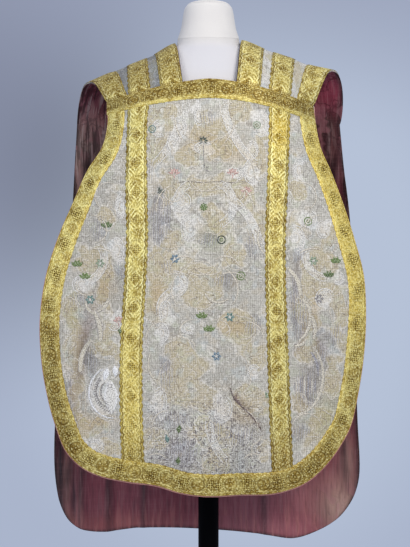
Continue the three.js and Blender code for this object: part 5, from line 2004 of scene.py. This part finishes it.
def ring_piece(name, profile, finish, slot):
    """A turned piece with a hole: its profile closes on itself."""
    points = turned(profile)
    count, sides = points.shape[:2]
    ring = np.arange(count * sides).reshape(count, sides)
    ahead, above = np.roll(ring, -1, axis=1), np.roll(ring, -1, axis=0)
    quads = np.stack([ring, ahead, np.roll(ahead, -1, axis=0), above], -1).reshape(-1, 4)
    uv = np.zeros((count * sides, 2))
    piece = new_piece(name, points.reshape(-1, 3), quads, finish, slot, uv, sharp=40)
    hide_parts(name)


AXIS, POLE, BORE, PLATE = 0.01, 22, 22.3, 190
PLATE_TOP, FOOT, POLE_TOP, SOCKET_TOP = 10, 10.3, 735.4, 735.7
PAINT = black_paint, "black_paint"
turned_piece(
    "pole", turned([(AXIS, FOOT), (POLE, FOOT), (POLE, POLE_TOP), (AXIS, POLE_TOP)]), *PAINT
)
turned_piece("form_flange", turned([
    (AXIS, SOCKET_TOP), (BORE, SOCKET_TOP), (BORE, 649.7), (31, 649.7), (31, 731.7),
    (65, 731.7), (65, 739.7), (AXIS, 739.7),
]), *PAINT)
ring_piece("base_hub", [(BORE, FOOT), (46, FOOT), (46, 24.3), (29, 52.3), (BORE, 52.3)], *PAINT)
turned_piece("base_plate", turned([
    (AXIS, 0), (PLATE, 0), (PLATE, 7), (187, PLATE_TOP), (AXIS, PLATE_TOP),
]), *PAINT)

# %% [markdown]
# ## Floor and light
#
# The part stands on a plain pale floor. The light is that of a studio: a large soft lamp on
# the right in front, a weaker one on the left, one overhead, and a bluish grey sky that is
# darkest behind the left shoulder.

# %% Floor
FLOOR_RADIUS, FLOOR_DROP, FLOOR_SIDES = 1.45, 0.0005, 96
floor_round = np.linspace(0, 2 * math.pi, FLOOR_SIDES + 1)[:-1]
rim = [(FLOOR_RADIUS * math.cos(a), FLOOR_RADIUS * math.sin(a), -FLOOR_DROP) for a in floor_round]
floor_mesh = bpy.data.meshes.new("floor")
floor_mesh.from_pydata(rim, [], [list(range(FLOOR_SIDES))])
floor = new_object("floor", floor_mesh)
floor_finish = Finish("pale floor", roughness=0.7)
floor_finish.set("Base Color", srgb(196, 200, 210))
floor_mesh.materials.append(floor_finish.material)

# %% Light
def area_light(name, place, target, size, watts, colour=(1, 1, 1)):
    """A round soft lamp, tipped and turned to face its target."""
    data = bpy.data.lights.new(name, "AREA")
    data.shape, data.size, data.energy, data.color = "DISK", size, watts, colour
    lamp = new_object(name, data)
    lamp.location = place
    from_target = np.array(place) - np.array(target)
    flat_reach = math.hypot(from_target[0], from_target[1])
    lamp.rotation_euler = (
        math.atan2(flat_reach, from_target[2]), 0,
        math.atan2(from_target[1], from_target[0]) + math.pi / 2,
    )
    print(f"{name} light: {watts} W")


area_light("key", (1.4, -2.7, 2.5), (0, 0, 1.2), 1.3, 66, (1, 0.96, 0.89))
area_light("fill", (-1.9, -2.6, 2.1), (0, 0, 1.1), 1.8, 31, (1, 0.97, 0.92))
area_light("top", (0.2, 0.1, 3.4), (0, 0, 1), 1.4, 8)

world = bpy.data.worlds.new("studio")
scene.world = world
world.use_nodes = True


class Sky(Finish):
    """The world's own nodes, written in the same way as a finish."""

    def __init__(self, world):
        self.tree = world.node_tree
        self.shader = world.node_tree.nodes["Background"]


sky = Sky(world)
direction = sky.node("TexCoord", output="Generated")
x, z = sky.parts(direction, 0, 2)
shadow = ((x + 0.17) * (x + 0.17) + (z - 0.11) * (z - 0.11) * 0.8).apply("SQRT")
colour = sky.mix(shadow.step(0.02, 0.22), srgb(117, 123, 140), srgb(182, 194, 215))
colour = sky.mix(z.step(0.09, 0.26) * 0.6, colour, srgb(141, 147, 168))
away = ((x - 0.03) * (x - 0.03) * 1.6 + z * z).apply("SQRT")
sky.set("Color", sky.mix(away.step(0.15, 0.28) * 0.4, colour, srgb(150, 158, 184)))

# %% [markdown]
# ## Pieces made
#
# The last cell prints how many pieces were made, and how many triangles they have in all.

# %% Count the pieces
print("pieces:", len(pieces_made), "with", sum(pieces_made), "triangles")
